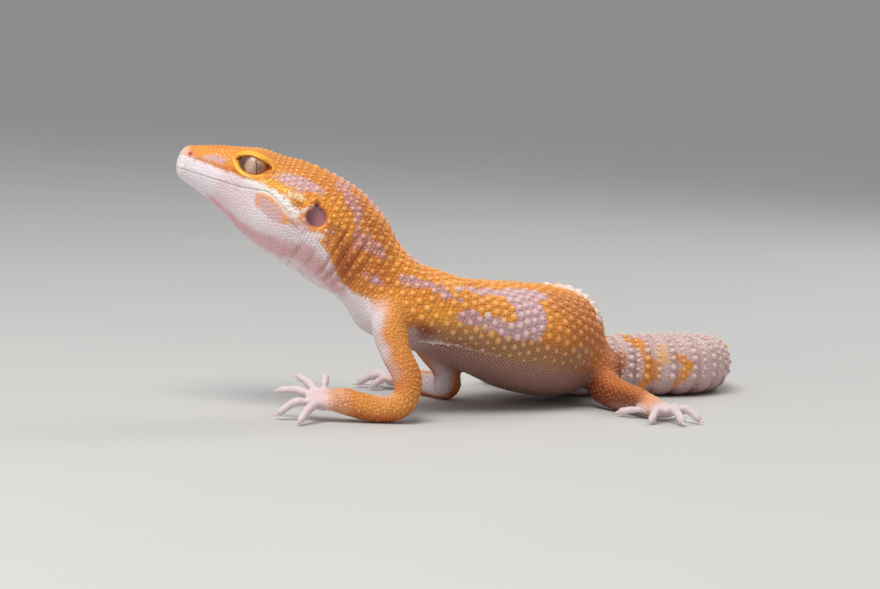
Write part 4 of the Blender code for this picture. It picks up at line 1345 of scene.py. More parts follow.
def limb_colour(chart, share, points, normals):
    """Colour of a leg, palm or toe: orange outside with painted shade on the undersides and the legs'
    sides, white on the inner bend, pale digits.

    The change at the wrist goes by the distance from the palm's middle towards the elbow, for
    the leg and the palm alike, so nothing shows where they join.
    """
    fine, wide = cloud(points, 2.0, 21), cloud(points, 5.0, 22)
    arm = (chart == LEG_CHART) | (chart == LEG_CHART + 1)
    leg = (chart == LEG_CHART + 2) | (chart == LEG_CHART + 3)
    upward = normals[:, 2]
    base = np.where(arm[:, None], ARM, LEG)
    base = lay(base, AMBER, step(wide, 0.0, 0.9) * 0.5)
    # painted shade: the legs darker where they face away from the sky
    base = lay(base, LEG_SIDE_PAINTED_SHADE, step(0.95 - upward + 0.1 * fine, 0.0, 0.7) * leg)
    base = lay(base, AMBER, hill(share, 0.50, 0.10) * arm * 0.7)
    # painted shade: darker where a limb faces down, fading along the leg
    under = step(-upward + 0.15 * fine, 0.1, 0.8)
    depth = np.where(arm, 0.85, 1.0 - step(share, 0.5, 0.7))
    base = lay(base, np.where(arm[:, None], ARM_UNDERSIDE_PAINTED_SHADE, LEG_UNDERSIDE_PAINTED_SHADE), under * depth)
    bend = step(normals @ FLEXOR + 0.06 * fine, 0.34, 0.76) * (1.0 - step(share, *UPPER_ARM_END))
    forearm = step(normals @ INNER_FOREARM + 0.06 * fine, 0.62, 0.92)
    inner = np.maximum(bend, forearm * plateau(share, FOREARM_START, FOREARM_END))
    far = step(normals @ FAR_FLEXOR + 0.10 * fine, 0.28, 0.70) * (1.0 - step(share, *FAR_ARM_END))
    base = lay(base, PEARL * 0.94, np.where(chart == LEG_CHART + 1, far, inner * (chart == LEG_CHART)))
    base = lay(base, LAVENDER, under * leg * step(share, 0.6, 0.85))
    hand = lay(even(HAND, base), ROSE, step(wide, 0.0, 0.8) * 0.25)
    colour = base
    for number, (path, (centre, *_)) in enumerate(zip(LIMBS.values(), FEET.values())):
        own_leg = chart == LEG_CHART + number
        towards = np.array(path[-1][:3]) - centre
        towards = towards / np.linalg.norm(towards)
        reach = (points - centre) @ towards + 0.5 * fine
        wrist = lay(hand, WRIST_GOLD, step(reach, -0.4, 1.8) * 0.85)
        wrist = lay(wrist, base, step(reach, 2.4, 5.6) * own_leg)
        here = (chart == PALM_CHART + number) | (own_leg & (share > 0.6))
        colour = np.where(here[:, None], wrist, colour)
    knuckles = hill(share, 0.52, 0.12) + hill(share, 0.8, 0.06)
    toe = lay(even(DIGIT, base), ROSE, knuckles * 0.15)
    return np.where((chart == TOE_CHART)[:, None], toe, colour)


def tint_of(chart, u, v, points, normals):
    """Colour at places of the skin, each given by its part and by u and v on that part.

    On a lid v runs round its section: its edge at the eye is painted shade, the crest is yellow and
    the outer and under side orange.
    """
    colour = body_colour(at_of(u), 2 * math.pi * v - math.pi / 2, points)
    colour = np.where((chart > 0)[:, None], limb_colour(chart, u, points, normals), colour)
    # painted shade on the lid's edge against the eye, yellow beyond it, then orange
    rim = step(np.minimum(v, 1.0 - v), 0.02, 0.13)
    lid = lay(even(LID_EDGE_PAINTED_SHADE, colour), YELLOW * 0.95, rim)
    lid = lay(lid, CROWN, step(v, 0.36, 0.5))
    colour = np.where((chart == LID_CHART)[:, None], lid, colour)
    return np.where((chart == CUT_CHART)[:, None], CUT_PINK, colour)


# %% Colouring the skin
owner = np.full(len(points), -1)
order = np.argsort(-chart, kind="stable")
owner[corners[order]] = order
normals = np.empty(3 * len(points))
skin.data.vertices.foreach_get("normal", normals)
normals = normals.reshape(-1, 3)
own_chart = chart[owner]
own_u = place[owner, 0] - own_chart * CHART_STEP
tint = tint_of(own_chart, own_u, place[owner, 1], points, normals)
TINT_ROUNDS = 24
for _ in range(TINT_ROUNDS):
    tint += 0.5 * weight * to_neighbours(tint)


def colour_points(mesh, colours):
    """Keep a colour per vertex in the attribute that the finishes read."""
    table = np.column_stack((np.clip(colours, 0.0, 1.0), np.ones(len(colours))))
    layer = mesh.attributes.new("tint", "FLOAT_COLOR", "POINT")
    layer.data.foreach_set("color", table.astype(np.float32).ravel())


colour_points(skin.data, tint)
print("skin colours from", np.round(tint.min(0), 2), "to", np.round(tint.max(0), 2))

# %% [markdown]
# ## Scales
#
# Large tubercles stand in rows on the back and tail, and small grains fill the skin between
# them. Each is a low closed dome with a sunk rim. All domes of a kind are one template, turned
# into the surface's frame and scaled at every root at once, then joined into a few meshes. They
# take their colour from the markings formula at the root, with a paler tip.

# %% Spacing of the scales
SPACING_AT = np.array((-2.0, 2.0, 10.0, 16.0, 20.0, 27.0, 36.0, 45.0, 60.0, 92.0, 103.0))
TUBERCLE_SPACING = np.array((0.8, 0.85, 1.0, 1.15, 1.3, 1.5, 1.65, 1.85, 2.15, 2.15, 1.9))
TUBERCLE_WIDTH = 0.385          # radius as a share of the spacing
TUBERCLE_HEIGHT = 0.92          # as a share of the coat's depth
GRAIN_SPACING = np.array((0.55, 0.55, 0.6, 0.62, 0.66, 0.7, 0.74, 0.78, 0.82, 0.82, 0.85))
GRAIN_WIDTH = 0.46
GRAIN_HEIGHT = 0.11
LEVELLING_ROUNDS = 14
LEVELLING_LOOSE = 0.30          # first shift of a place, as a share of the spacing
LEVELLING_PUSH = 0.22
EYE_BARE = (14.3, 4.0)          # middle, back and up, of the oval round the eye, and its half sizes
EYE_BARE_SIZE = (4.4, 2.8)
BESIDE_EYE = 3.5
EAR_MARGIN, LIPS_MARGIN, NOSTRIL_MARGIN = 0.28, 0.30, 0.75
ROW_STEP = 0.86                 # from row to row, as a share of the spacing
chooser = np.random.default_rng(7)
face_corners = [tuple(polygon.vertices) for polygon in skin.data.polygons]
skin_tree = BVHTree.FromPolygons([tuple(point) for point in points], face_corners)


def seat(targets, reach):
    """Nearest places of the finished skin, with their normals; far ones are left out."""
    found = [skin_tree.find_nearest(Vector(target)) for target in targets]
    near = np.array([apart < reach for _, _, _, apart in found])
    spots = np.array([spot[:] for spot, _, _, _ in found])
    ups = np.array([up[:] for _, up, _, _ in found])
    return np.flatnonzero(near), spots[near], ups[near]


def body_rows(start, end, spacing_table, widest):
    """Places in alternating rows across the body: length along the spine and degrees round it."""
    places = []
    at, number = start, 0
    while at < end:
        spacing = np.interp(at, SPACING_AT, spacing_table)
        apart = spacing / degree_length(at)
        count = int(2 * widest / apart)
        around = (np.arange(count) - (count - 1) / 2 + 0.5 * (number % 2)) * apart
        places.append(np.column_stack((np.full(count, at), around)))
        at += ROW_STEP * spacing
        number += 1
    return np.concatenate(places)


def level_out(places, spacing_table):
    """Push places apart until neighbours stand about one spacing from each other."""
    at, around = places.T.copy()
    loose = LEVELLING_LOOSE * np.interp(at, SPACING_AT, spacing_table)
    at += loose * chooser.uniform(-1, 1, len(at))
    around += loose / degree_length(at) * chooser.uniform(-1, 1, len(at))
    for _ in range(LEVELLING_ROUNDS):
        girth = degree_length(at)
        spacing = np.interp(at, SPACING_AT, spacing_table)
        along = at[:, None] - at[None]
        aside = (around[:, None] - around[None] + 180.0) % 360.0 - 180.0
        aside = aside * girth[:, None]
        apart = np.sqrt(along**2 + aside**2 + 1e-6)
        close = (apart < spacing[:, None]) & (apart > 2e-3)
        push = np.where(close, (spacing[:, None] - apart) / apart, 0.0)
        at = at + LEVELLING_PUSH * (push * along).sum(1)
        around = around + LEVELLING_PUSH * (push * aside).sum(1) / girth
    return np.column_stack((at, around))


def bare(points):
    """True where no scale stands: on the eye, the ear, the lips' edge and the nostril."""
    back, out, up = head_local(points).T
    out = np.abs(out)
    from_eye = np.hypot((back - EYE_BARE[0]) / EYE_BARE_SIZE[0], (up - EYE_BARE[1]) / EYE_BARE_SIZE[1])
    eye = (from_eye < 1.0) & (out > BESIDE_EYE)
    ear = (ear_edge(back, up) < EAR_MARGIN) & (out > BESIDE_EAR)
    from_lips = np.abs(up - np.interp(back, *np.array(MOUTH).T))
    lips = (from_lips < LIPS_MARGIN) & (back < MOUTH_CORNER[1])
    nose = np.hypot(back - NOSTRIL[0], up - NOSTRIL[2]) < NOSTRIL_MARGIN
    return (back < HEAD_REACH) & (eye | ear | lips | nose)


print("tubercles up to", round(2 * TUBERCLE_WIDTH * TUBERCLE_SPACING.max(), 2), "mm across")


# %% Domes
def dome(sides, levels):
    """A closed unit dome: rings of radius and height, a top point and a sunk bottom point."""
    turn = full_turn(sides)
    rings = [np.column_stack((radius * np.cos(turn), radius * np.sin(turn), np.full(sides, height)))
             for radius, height in levels]
    ends = ((0.0, 0.0, 1.0), (0.0, 0.0, levels[0][1] - 0.1))
    side = np.arange(sides)
    after = (side + 1) % sides
    low = sides * np.arange(len(levels) - 1)[:, None]
    walls = np.stack((low + side, low + after, low + sides + after, low + sides + side), -1)
    top = len(levels) * sides
    last = top - sides
    caps = (np.stack((last + side, last + after, np.full(sides, top)), -1),
            np.stack((np.full(sides, top + 1), after, side), -1))
    return np.concatenate((*rings, ends)), walls.reshape(-1, 4), np.concatenate(caps)


TUBERCLE = dome(9, ((1.0, -0.20), (0.86, 0.20), (0.60, 0.60), (0.30, 0.90)))
SMALL_TUBERCLE = dome(7, ((1.0, -0.20), (0.80, 0.35), (0.45, 0.82)))
GRAIN = dome(6, ((1.0, -0.3), (0.70, 0.62)))
BAKE_PATCH = 0.003
COLUMNS = 0.01 + 0.245 * np.arange(4)
BAKE_BOXES = np.array((         # left, bottom, width and height on the unwrap: body, legs, palms, toes
    (0.01, 0.01, 0.98, 0.55), *((left, 0.58, 0.23, 0.18) for left in COLUMNS),
    *((left, 0.78, 0.23, 0.10) for left in COLUMNS), (0.01, 0.90, 0.90, 0.09)))


def new_mesh(name, vertices, corners_of, totals):
    """A mesh from whole arrays: vertices, the faces' corners, and how many corners each has."""
    mesh = bpy.data.meshes.new(name)
    mesh.vertices.add(len(vertices))
    mesh.vertices.foreach_set("co", vertices.astype(np.float32).ravel())
    mesh.loops.add(len(corners_of))
    mesh.loops.foreach_set("vertex_index", corners_of.astype(np.int32))
    mesh.polygons.add(len(totals))
    mesh.polygons.foreach_set("loop_start", (np.cumsum(totals) - totals).astype(np.int32))
    mesh.update(calc_edges=True)
    return mesh


def scatter(name, template, roots):
    """One mesh of many domes: template points times size, in the frame of each root.

    A dome's map place is a small patch at its root's place on the unwrap of the skin.
    """
    vertices, walls, caps = template
    count = len(roots["spot"])
    ups, lean = roots["up"], roots["lean"]
    ahead = lean - ups * np.einsum("ij,ij->i", lean, ups)[:, None]
    ahead /= np.linalg.norm(ahead, axis=1)[:, None] + 1e-9
    side = np.cross(ups, ahead)
    local = vertices[None] * roots["size"][:, None, :]
    world = (roots["spot"][:, None] + local[..., :1] * ahead[:, None] + local[..., 1:2] * side[:, None]
             + local[..., 2:] * ups[:, None])
    world[..., 2] = np.maximum(world[..., 2], FLOOR_CLEARANCE)
    shift = len(vertices) * np.arange(count)[:, None, None]
    corners_of = np.concatenate([(faces + shift).ravel() for faces in (walls, caps)])
    totals = np.repeat((4, 3), (count * len(walls), count * len(caps)))
    mesh = new_mesh(name, to_model(world.reshape(-1, 3)), corners_of, totals)
    lift = np.clip(vertices[:, 2], 0.0, 1.0)[:, None]**1.5
    colours = roots["colour"][:, None] * (1 - lift) + roots["tip"][:, None] * lift
    colour_points(mesh, colours.reshape(-1, 3))
    boxes = BAKE_BOXES[roots["chart"]]
    centres = boxes[:, :2] + np.column_stack((roots["u"], roots["v"])) * boxes[:, 2:]
    patch = (centres[:, None] + vertices[:, :2] * BAKE_PATCH / 2).reshape(-1, 2)
    layer = mesh.uv_layers.new(name="OFBake")
    layer.data.foreach_set("uv", patch[corners_of].astype(np.float32).ravel())
    print(name, "-", count, "scales,", count * (2 * len(walls) + len(caps)), "triangles")
    return add_piece(name, mesh)


def skin_tint(spots):
    """Mean colour of the skin's face nearest to each place."""
    faces = [skin_tree.find_nearest(Vector(spot))[2] for spot in spots]
    return np.array([tint[list(face_corners[face])].mean(0) for face in faces])


COOL_TIP, WARM_TIP = paint(250, 240, 238), paint(255, 208, 124)
SCALE_SHADES = (0.93, 1.05)


def rooted(spots, ups, chart, u, v, sizes, pale, lean, astray=0.0):
    """Everything a scale needs at its root, with its colours from the markings.

    On the body (chart 0) the colour is read up to "astray" millimetres away, so an edge of a
    marking is speckled. On a limb it is the colour of the skin below, so nothing shows at the
    shoulder. The tip is paler than the foot by the share "pale".
    """
    slip = chooser.uniform(-1, 1, (2, len(spots))) * astray
    charts = np.full(len(spots), chart)
    if chart:
        colour = skin_tint(spots)
    else:
        at = at_of(u)
        v_read = (v + slip[1] / (360.0 * degree_length(at))) % 1.0
        colour = tint_of(charts, u_of(at + slip[0]), v_read, spots, ups)
    warmth = np.clip((colour[:, 0] - colour[:, 2]) / (colour[:, 0] + 1e-6), 0.0, 1.0)[:, None]
    tip = COOL_TIP * (1 - warmth) + WARM_TIP * warmth
    shade = chooser.uniform(*SCALE_SHADES, len(spots))[:, None]
    return {"spot": spots, "up": ups, "chart": charts, "u": u, "v": v, "size": sizes, "lean": lean,
            "colour": colour * shade, "tip": colour * (1 - pale) + tip * pale}


def on_body(places, reach):
    """Seat places of the body on the skin; gives what was kept, spots, normals, u and v."""
    turn = round_place(places[:, 1])
    keep, spots, ups = seat(body_skin(places[:, 0], turn), reach)
    free = ~bare(spots)
    keep, spots, ups = keep[free], spots[free], ups[free]
    v = (turn[keep] + math.pi / 2) / (2 * math.pi) % 1.0
    return keep, spots, ups, u_of(places[keep, 0]), v


print("a tubercle has", 2 * len(TUBERCLE[1]) + len(TUBERCLE[2]), "triangles, a grain",
      2 * len(GRAIN[1]) + len(GRAIN[2]))

# %% Tubercles of head, neck and trunk
FIRST_ROW, COAT_START, COAT_END = 1.2, 1.0, 102.0
WIDEST_ROW = 132.0
BORDER_MARGIN = 2.0
SEAT_REACH = 0.45
TUBERCLE_LONG = 1.05
TUBERCLE_GROWTH = (0.82, 1.12)
GROWTH = (0.85, 1.1)
SPECKLE_REACH = 0.6
BACKWARDS = np.array((1.0, 0.0, 0.0))


def border_at(at):
    """Degrees from the middle of the back where the coloured side ends."""
    return np.interp(at, BORDER_AT, BORDER)


places = body_rows(FIRST_ROW, COAT_END, TUBERCLE_SPACING, WIDEST_ROW)
places = level_out(places, TUBERCLE_SPACING)
at, around = places.T
inside = (np.abs(around) < border_at(at) - BORDER_MARGIN) & (at > COAT_START) & (at < COAT_END)
places = places[inside]
keep, spots, ups, u, v = on_body(places, SEAT_REACH)
at, around = places[keep].T
radius = TUBERCLE_WIDTH * np.interp(at, SPACING_AT, TUBERCLE_SPACING)
to_border = border_at(at) - np.abs(around)
grown = (0.68 + 0.32 * step(to_border, 2.0, 32.0)) * chooser.uniform(*TUBERCLE_GROWTH, len(at))
height = TUBERCLE_HEIGHT * np.interp(at, COAT_AT, COAT_DEPTH) * np.minimum(grown, 1.0)
sizes = np.column_stack((radius * grown * TUBERCLE_LONG, radius * grown, height))
crease = -folds(at, np.abs(around), *NECK_FOLDS)
sizes *= (1.0 - 0.7 * np.clip(crease, 0.0, 0.7))[:, None]
pale = (0.5 - 0.22 * hill(at, 36.0, 8.0) - 0.18 * hill(at, 90.0, 9.0))[:, None]
lean = np.broadcast_to(BACKWARDS, spots.shape)
back_roots = rooted(spots, ups, 0, u, v, sizes, pale, lean, SPECKLE_REACH)
coats = [scatter("back_tubercles", TUBERCLE, back_roots)]

# %% Tubercles of the tail
TAIL_WHORLS = 17
TAIL_COVER = 112.0              # degrees on each side of the middle of the back
TAIL_FULL = 6.5                 # where the tail is narrower than this, its tubercles are smaller
TAIL_JITTER = 1.5
TAIL_SEAT_REACH = 0.6
TAIL_LONG, TAIL_PALE_TIP, TAIL_SPECKLE = 1.1, 0.5, 0.7
WHORL_ROWS = ((0.22, 1.5, 0.50, 0.30), (0.72, 1.8, 0.74, 0.56))     # place, spacing, radius, height
tail_rows = []
for whorl in range(TAIL_WHORLS):
    for phase, spacing, radius, height in WHORL_ROWS:
        at = TAIL_START + (whorl + phase) * WHORL
        count = max(3, round(2 * TAIL_COVER * degree_length(at) / spacing))
        around = (np.arange(count) - (count - 1) / 2) * 2 * TAIL_COVER / count
        shrink = min(1.0, np.interp(at, GIRTH_AT, GIRTH) / TAIL_FULL)
        tail_rows.extend((at, angle, radius * shrink, height * shrink) for angle in around)
tail_rows = np.array(tail_rows)
tail_rows[:, 1] += chooser.uniform(-1, 1, len(tail_rows)) * TAIL_JITTER
tail_rows = tail_rows[tail_rows[:, 0] < SPINE_LENGTH]
keep, tail_spots, ups, u, v = on_body(tail_rows[:, :2], TAIL_SEAT_REACH)
grown = chooser.uniform(*GROWTH, len(keep))
at, around, radius, height = tail_rows[keep].T
height = height * np.minimum(grown, 1.0)
sizes = np.column_stack((radius * grown * TAIL_LONG, radius * grown, height))
lean = columns_at(at, KNOTS, np.gradient(STATIONS[:, :3], KNOTS, axis=0))
tail_roots = rooted(tail_spots, ups, 0, u, v, sizes, TAIL_PALE_TIP, lean, TAIL_SPECKLE)
coats.append(scatter("tail_tubercles", TUBERCLE, tail_roots))

# %% Scales of the limbs
LIMB_MEAN_RADIUS = 2.7
DOWNWARDS = np.array((0.3, 0.2, -1.0))
LIMB_JITTER = 0.2               # as a share of the spacing
LIMB_SEAT_REACH = 0.5
LIMB_GROWTH = (0.8, 1.1)
FACING_INNER, FACING_DOWN, UPPER_ARM = 0.45, -0.35, 0.6


def limb_rows(name, spacing, start, end):
    """Places in alternating rings on a leg: share along it and share round it, with the points."""
    palm = FEET[name.replace("arm", "hand").replace("leg", "foot")][0]
    path = (*LIMBS[name], (*palm, WRIST_RADIUS))
    length = path_knots(np.array(path)[:, :3])[-1]
    shares = np.arange(start, end, ROW_STEP * spacing / length)
    sides = max(8, round(2 * math.pi * LIMB_MEAN_RADIUS / spacing))
    ring = carry(path, shares, 2 * sides, leg_radius)
    shift = (np.arange(len(shares)) % 2)[:, None]
    column = 2 * np.arange(sides)[None, :] + shift
    spots = ring[np.arange(len(shares))[:, None], column].reshape(-1, 3)
    u, v = np.broadcast_arrays(shares[:, None], column / (2 * sides))
    return spots, u.ravel(), v.ravel()


def limb_roots(spacing, start, end, width, height, pale, upper_only):
    """Roots on all four legs; with upper_only, those that face down are left out."""
    tables = []
    for chart, name in enumerate(LIMBS, LEG_CHART):
        targets, u, v = limb_rows(name, spacing, start, end)
        targets = targets + chooser.uniform(-LIMB_JITTER, LIMB_JITTER, targets.shape) * spacing
        keep, spots, ups = seat(targets, LIMB_SEAT_REACH)
        if upper_only:
            inner = (ups @ FLEXOR > FACING_INNER) & (u[keep] < UPPER_ARM) & ("arm" in name)
            facing = (ups[:, 2] > FACING_DOWN) & ~inner
            keep, spots, ups = keep[facing], spots[facing], ups[facing]
        grown = chooser.uniform(*LIMB_GROWTH, len(keep))
        sizes = np.column_stack((width * grown, width * grown, height * grown))
        lean = np.broadcast_to(DOWNWARDS, spots.shape)
        tables.append(rooted(spots, ups, chart, u[keep], v[keep], sizes, pale, lean))
    return {key: np.concatenate([table[key] for table in tables]) for key in tables[0]}


LIMB_COATS = (                  # name, dome, spacing, start, end, width, height, pale, upper side only
    ("limb_tubercles", SMALL_TUBERCLE, 0.98, 0.12, 0.94, 0.38, 0.20, 0.20, True),
    ("limb_grains", GRAIN, 0.62, 0.05, 0.99, 0.30, 0.10, 0.12, False),
)
for name, template, *sizes in LIMB_COATS:
    coats.append(scatter(name, template, limb_roots(*sizes)))

# %% Grains of the body
big_spots = np.concatenate((back_roots["spot"], tail_spots))
big_tree = KDTree(len(big_spots))
for number, spot in enumerate(big_spots):
    big_tree.insert(spot, number)
big_tree.balance()
FIRST_GRAINS = -1.6
GRAIN_JITTER = np.array((0.06, 0.5))
TUBERCLE_ROOM = 0.40
FACE_END, CHEST_END, BELLY_GRAINS, TAIL_GRAINS = 16.0, 46.0, 50.0, 101.0
FLAT_GRAIN, BELLY_NARROW, GRAIN_SPECKLE = 0.5, 0.84, 0.25
places = body_rows(FIRST_GRAINS, SPINE_LENGTH, GRAIN_SPACING, 180.0)
places += chooser.uniform(-1, 1, places.shape) * GRAIN_JITTER
keep, spots, ups, u, v = on_body(places, SEAT_REACH)
clear = np.array([big_tree.find(spot)[2] for spot in spots]) > TUBERCLE_ROOM
keep, spots, ups, u, v = (table[clear] for table in (keep, spots, ups, u, v))
at, around = places[keep].T
below = np.abs(around) > border_at(at)
radius = GRAIN_WIDTH * np.interp(at, SPACING_AT, GRAIN_SPACING)
grown = chooser.uniform(*GROWTH, len(keep))
flat = (at < FACE_END) | (below & (at < CHEST_END)) | (at > TAIL_GRAINS)
flatness = np.where(flat, FLAT_GRAIN, 1.0)
narrow = np.where(below & (at > BELLY_GRAINS), BELLY_NARROW, 1.0)
sizes = np.column_stack((radius * grown * narrow, radius * grown / narrow, GRAIN_HEIGHT * grown * flatness))
pale = np.where(at > TAIL_GRAINS, 0.06, np.where(below, 0.30, 0.14))[:, None]
lean = np.broadcast_to(BACKWARDS, spots.shape)
grain_roots = rooted(spots, ups, 0, u, v, sizes, pale, lean, GRAIN_SPECKLE)
GRAINS_EACH = 6500
for number, start in enumerate(range(0, len(spots), GRAINS_EACH), 1):
    share_of = {key: value[start:start + GRAINS_EACH] for key, value in grain_roots.items()}
    coats.append(scatter(f"body_grains_{number}", GRAIN, share_of))

# %% [markdown]
# ## Eyes, eardrums and claws
#
# These are separate pieces, as they are on the animal. The eyeball is a sphere whose pole looks
# outwards, so its rings are close together where the slit of the pupil lies, and the iris can be
# a formula of the distance from the pole. The eardrum is a shallow dish at the bottom of the
# ear's pit. A claw is a cone along a curved path.

# %% Eyeballs
EYE_RINGS = 90
EYE_SIDES = 112
SLIT_TOP = (0.45, 1.30)         # back and up from the eye's middle
SLIT_BOTTOM = (0.95, -0.80)
SLIT_HALF = 0.055
SLIT_EDGE = 0.06
SLIT_BEND, SLIT_BEND_WAVES = 0.07, 11.0
SLIT_WAVE, SLIT_WAVES = 0.7, 22.0
IRIS_RADIUS = 2.35
IRIS_THREADS = 34.0
IRIS, IRIS_LIGHT, IRIS_DARK = paint(176, 132, 112), paint(222, 190, 168), paint(120, 78, 66)
THREAD, IRIS_RING, PUPIL = paint(206, 160, 136), paint(84, 50, 44), paint(30, 16, 14)


def eyeball_grid(side):
    """A sphere by angle from its outward pole: the rings crowd towards the pole."""
    share = np.linspace(0.0, 1.0, EYE_RINGS)
    angle = np.radians(1.0 + 177.0 * share**1.5)[:, None]
    turn = full_turn(EYE_SIDES)[None, :]
    back, up = np.sin(angle) * np.cos(turn), np.sin(angle) * np.sin(turn)
    out = np.broadcast_to(np.cos(angle), back.shape)
    back, out, up = EYE_RADIUS * back, EYE_RADIUS * out, EYE_RADIUS * up
    return head_point(EYE[0] + back, side * (EYE[1] + out), EYE[2] + up)


def iris_colour(places):
    """Mottled pinkish brown with radial threads, a dark wavy slit and a dark outer ring."""
    back, _, up = head_local(places).T
    back, up = back - EYE[0], up - EYE[2]
    (top_back, top_up), (bottom_back, bottom_up) = SLIT_TOP, SLIT_BOTTOM
    share = (up - bottom_up) / (top_up - bottom_up)
    middle = bottom_back + (top_back - bottom_back) * share
    middle = middle + SLIT_BEND * np.sin(share * SLIT_BEND_WAVES)
    ends = step(share, -0.05, 0.1) * step(1.0 - share, -0.05, 0.1)
    half = SLIT_HALF * (1.0 + SLIT_WAVE * np.cos(share * SLIT_WAVES)) * ends
    slit = 1.0 - step(np.abs(back - middle), half, half + SLIT_EDGE)
    back, up = back - (top_back + bottom_back) / 2, up - (top_up + bottom_up) / 2
    away = np.hypot(back, up)
    threads = 0.5 + 0.5 * np.sin(np.arctan2(up, back) * IRIS_THREADS + 3.0 * cloud(places, 0.7, 31))
    blotch = cloud(places, 0.9, 32) + 0.6 * cloud(places, 0.35, 33)
    colour = lay(even(IRIS, places), IRIS_LIGHT, step(blotch, -0.1, 0.9) * 0.8)
    colour = lay(colour, IRIS_DARK, step(-blotch, 0.1, 1.0) * 0.75)
    colour = lay(colour, THREAD, threads * 0.22 * step(away, 0.3, 0.8))
    colour = lay(colour, IRIS_RING, step(away, IRIS_RADIUS - 0.5, IRIS_RADIUS + 0.2) * 0.85) * 0.84
    return lay(colour, PUPIL, slit * (share > -0.06) * (share < 1.06))


def coloured_piece(mesh_name, name, grid, colour_of):
    """A closed piece over a grid, coloured by a function of the points."""
    mesh = grid_mesh(mesh_name, grid)
    colour_points(mesh, colour_of(with_ends(grid)))
    return add_piece(name, mesh)


eyeballs = [coloured_piece(f"eyeball_{name}", f"eyeball_{name}", eyeball_grid(side), iris_colour)
            for name, side in SIDES.items()]
print("eyeballs of radius", EYE_RADIUS, "mm")

# %% Eardrums
DRUM = (27.85, 8.55, -2.2)
DRUM_RADIUS = 2.1
DRUM_HOLLOW = 0.30
DRUM_SIDES = 48
DRUM_PROFILE = np.array((       # share of the radius, depth as a share of the hollow
    (0.02, -1.0), (0.35, -0.88), (0.62, -0.60), (0.82, -0.25), (0.95, 0.0), (1.0, -0.25),
    (0.96, -0.8), (0.7, -1.4), (0.3, -1.6), (0.02, -1.6)))
DRUM_PINK = paint(170, 122, 134)


def drum_grid(side):
    """A turned dish: from the middle of its hollow face over the rim to the back."""
    turn = full_turn(DRUM_SIDES)[None, :]
    radius, depth = DRUM_RADIUS * DRUM_PROFILE[:, :1], DRUM_HOLLOW * DRUM_PROFILE[:, 1:]
    back, up = radius * np.cos(turn), radius * np.sin(turn)
    return head_point(DRUM[0] + back, side * (DRUM[1] + depth), DRUM[2] + up)


def drum_colour(places):
    """Pale in the middle and darker towards the rim."""
    back, _, up = head_local(places).T
    away = np.hypot(back - DRUM[0], up - DRUM[2]) / DRUM_RADIUS
    return lay(even(DRUM_PINK, places), MAUVE * 0.8, step(away, 0.45, 1.0))


eardrums = [coloured_piece(f"drum_{name}", f"drum_{name}", drum_grid(side), drum_colour)
            for name, side in SIDES.items()]
print("eardrums of radius", DRUM_RADIUS, "mm")

# %% Claws
CLAW_LENGTH = 0.82
CLAW_RADIUS = 0.32
CLAW_DROOP = 0.25
CLAW_SINK = 0.45
CLAW_ABOVE_FLOOR = 0.12
CLAW_POINT = 0.03
CLAW_RINGS, CLAW_SIDES = 9, 14
CLAW, CLAW_END = paint(238, 216, 198), paint(222, 190, 146)


def claw_grid(toe):
    """A cone along a path that leaves the toe's tip and bends down to the floor."""
    tip = toe[-1, :3]
    forward = tip - toe[-2, :3]
    forward[2] = 0.0
    forward /= np.linalg.norm(forward)
    share = np.linspace(0.0, 1.0, CLAW_RINGS)
    along = (share * (CLAW_LENGTH + CLAW_SINK) - CLAW_SINK)[:, None]
    droop = CLAW_DROOP * np.clip(along / CLAW_LENGTH, 0.0, 1.0)**2
    centre = tip + forward * along - droop * np.array((0.0, 0.0, 1.0))
    centre[:, 2] = np.maximum(centre[:, 2], CLAW_ABOVE_FLOOR)
    radius = CLAW_RADIUS * (1.0 - share**1.4) + CLAW_POINT
    aside = np.cross(forward, (0.0, 0.0, 1.0))
    turn = full_turn(CLAW_SIDES)[None, :, None]
    ring = np.cos(turn) * aside * 0.8 + np.sin(turn) * np.array((0.0, 0.0, 1.0))
    grid = centre[:, None] + radius[:, None, None] * ring
    grid[..., 2] = np.maximum(grid[..., 2], FLOOR_CLEARANCE)
    return grid


def claw_colour(places):
    """Horn that gets darker towards the point, by the share along the claw."""
    share = np.repeat(np.linspace(0.0, 1.0, CLAW_RINGS), CLAW_SIDES)
    share = np.concatenate((share, (0.0, 1.0)))
    return lay(even(CLAW, places), CLAW_END, step(share, 0.45, 1.0))


claws = {}
for foot, (palm, *_, toes) in FEET.items():
    for number, (*toe_tip, lift) in enumerate(toes, 1):
        grid = claw_grid(toe_path(palm, toe_tip, lift))
        claw = coloured_piece("claw", f"claw_{foot}_{number}", grid, claw_colour)
        claws[f"{foot}_claw_{number}"] = claw
print(len(claws), "claws")

# %% [markdown]
# ## Finishes
#
# Skin and scales read the same colour attribute. Over it lie a fine mottling, a roughness that
# varies a little and a bump of tiny grains. Skin lets some light in, as flesh does. Eyes are wet:
# a clear coat over the iris. An image could hold all this, but it would fix its resolution.

# %% Finishes
HARD_WORDS = ("eye_", "eardrum_", "claw")
FLESH = [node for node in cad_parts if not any(word in node for word in HARD_WORDS)]
MOTTLE_SIZE, ROUGH_SIZE, FINE_BUMPS = 0.8, 1.6, 0.25        # millimetres
ROUGH_VARIATION = 0.16
FINE_BUMPS_SHARE = 0.3


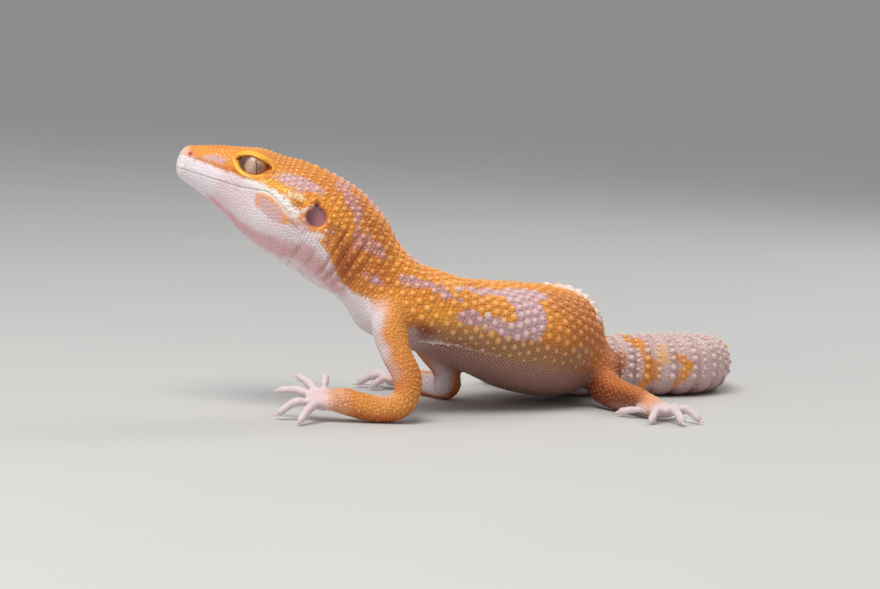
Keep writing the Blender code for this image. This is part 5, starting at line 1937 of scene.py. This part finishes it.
def place_piece(piece, nodes, finish):
    """Give a piece its finish and smooth shading, put it under the body root, and hide the solid nodes it
    stands for.
    """
    piece.data.materials.clear()
    piece.data.materials.append(finish.material)
    piece.data.polygons.foreach_set("use_smooth", np.ones(len(piece.data.polygons), bool))
    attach(piece, "root")
    if nodes:
        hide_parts(*nodes)


def tinted_finish(name, rough, mottle, grain, depth, **constants):
    """A finish that reads the tint attribute, with fine mottling and a bump of grains."""
    finish = Finish(name, **constants)
    tint_node = finish.node("ShaderNodeAttribute", {"attribute_name": "tint"})
    light = finish.noise(MOTTLE_SIZE, 3.0) * (2.0 * mottle) + (1.0 - mottle)
    scaled = finish.node("ShaderNodeVectorMath", {"operation": "SCALE"},
                         {0: tint_node.outputs["Color"], "Scale": light})
    roughness = finish.noise(ROUGH_SIZE) * ROUGH_VARIATION + (rough - ROUGH_VARIATION / 2)
    finish.set(Base_Color=scaled.outputs[0], Roughness=roughness)
    if depth > 0.0:
        fine = finish.noise(FINE_BUMPS) * FINE_BUMPS_SHARE
        finish.bump((1.0 - finish.cells(grain)) + fine, depth)
    return finish


# name, roughness, mottling, size and depth of the grains
hide = tinted_finish("hide", 0.48, 0.10, 0.45, 0.05, Subsurface_Weight=0.15,
                     Subsurface_Radius=(0.9, 0.35, 0.2), Subsurface_Scale=0.0012, Specular_IOR_Level=0.45)
scales = tinted_finish("scales", 0.44, 0.06, 0.3, 0.015, Specular_IOR_Level=0.5)
wet_eye = tinted_finish("wet_eye", 0.5, 0.05, 0.2, 0.0, Coat_Weight=0.5, Coat_Roughness=0.04,
                        Specular_IOR_Level=0.25)
drumskin = tinted_finish("drumskin", 0.40, 0.08, 0.3, 0.02)
horn = tinted_finish("horn", 0.34, 0.05, 0.2, 0.01)
place_piece(skin, FLESH, hide)
for coat in coats:
    place_piece(coat, (), scales)
for name, eyeball, eardrum in zip(SIDES, eyeballs, eardrums):
    place_piece(eyeball, (f"eye_{name}",), wet_eye)
    place_piece(eardrum, (f"eardrum_{name}",), drumskin)
for node, claw in claws.items():
    place_piece(claw, (node,), horn)
print("finishes set on", 1 + len(coats) + len(eyeballs) + len(eardrums) + len(claws), "pieces")
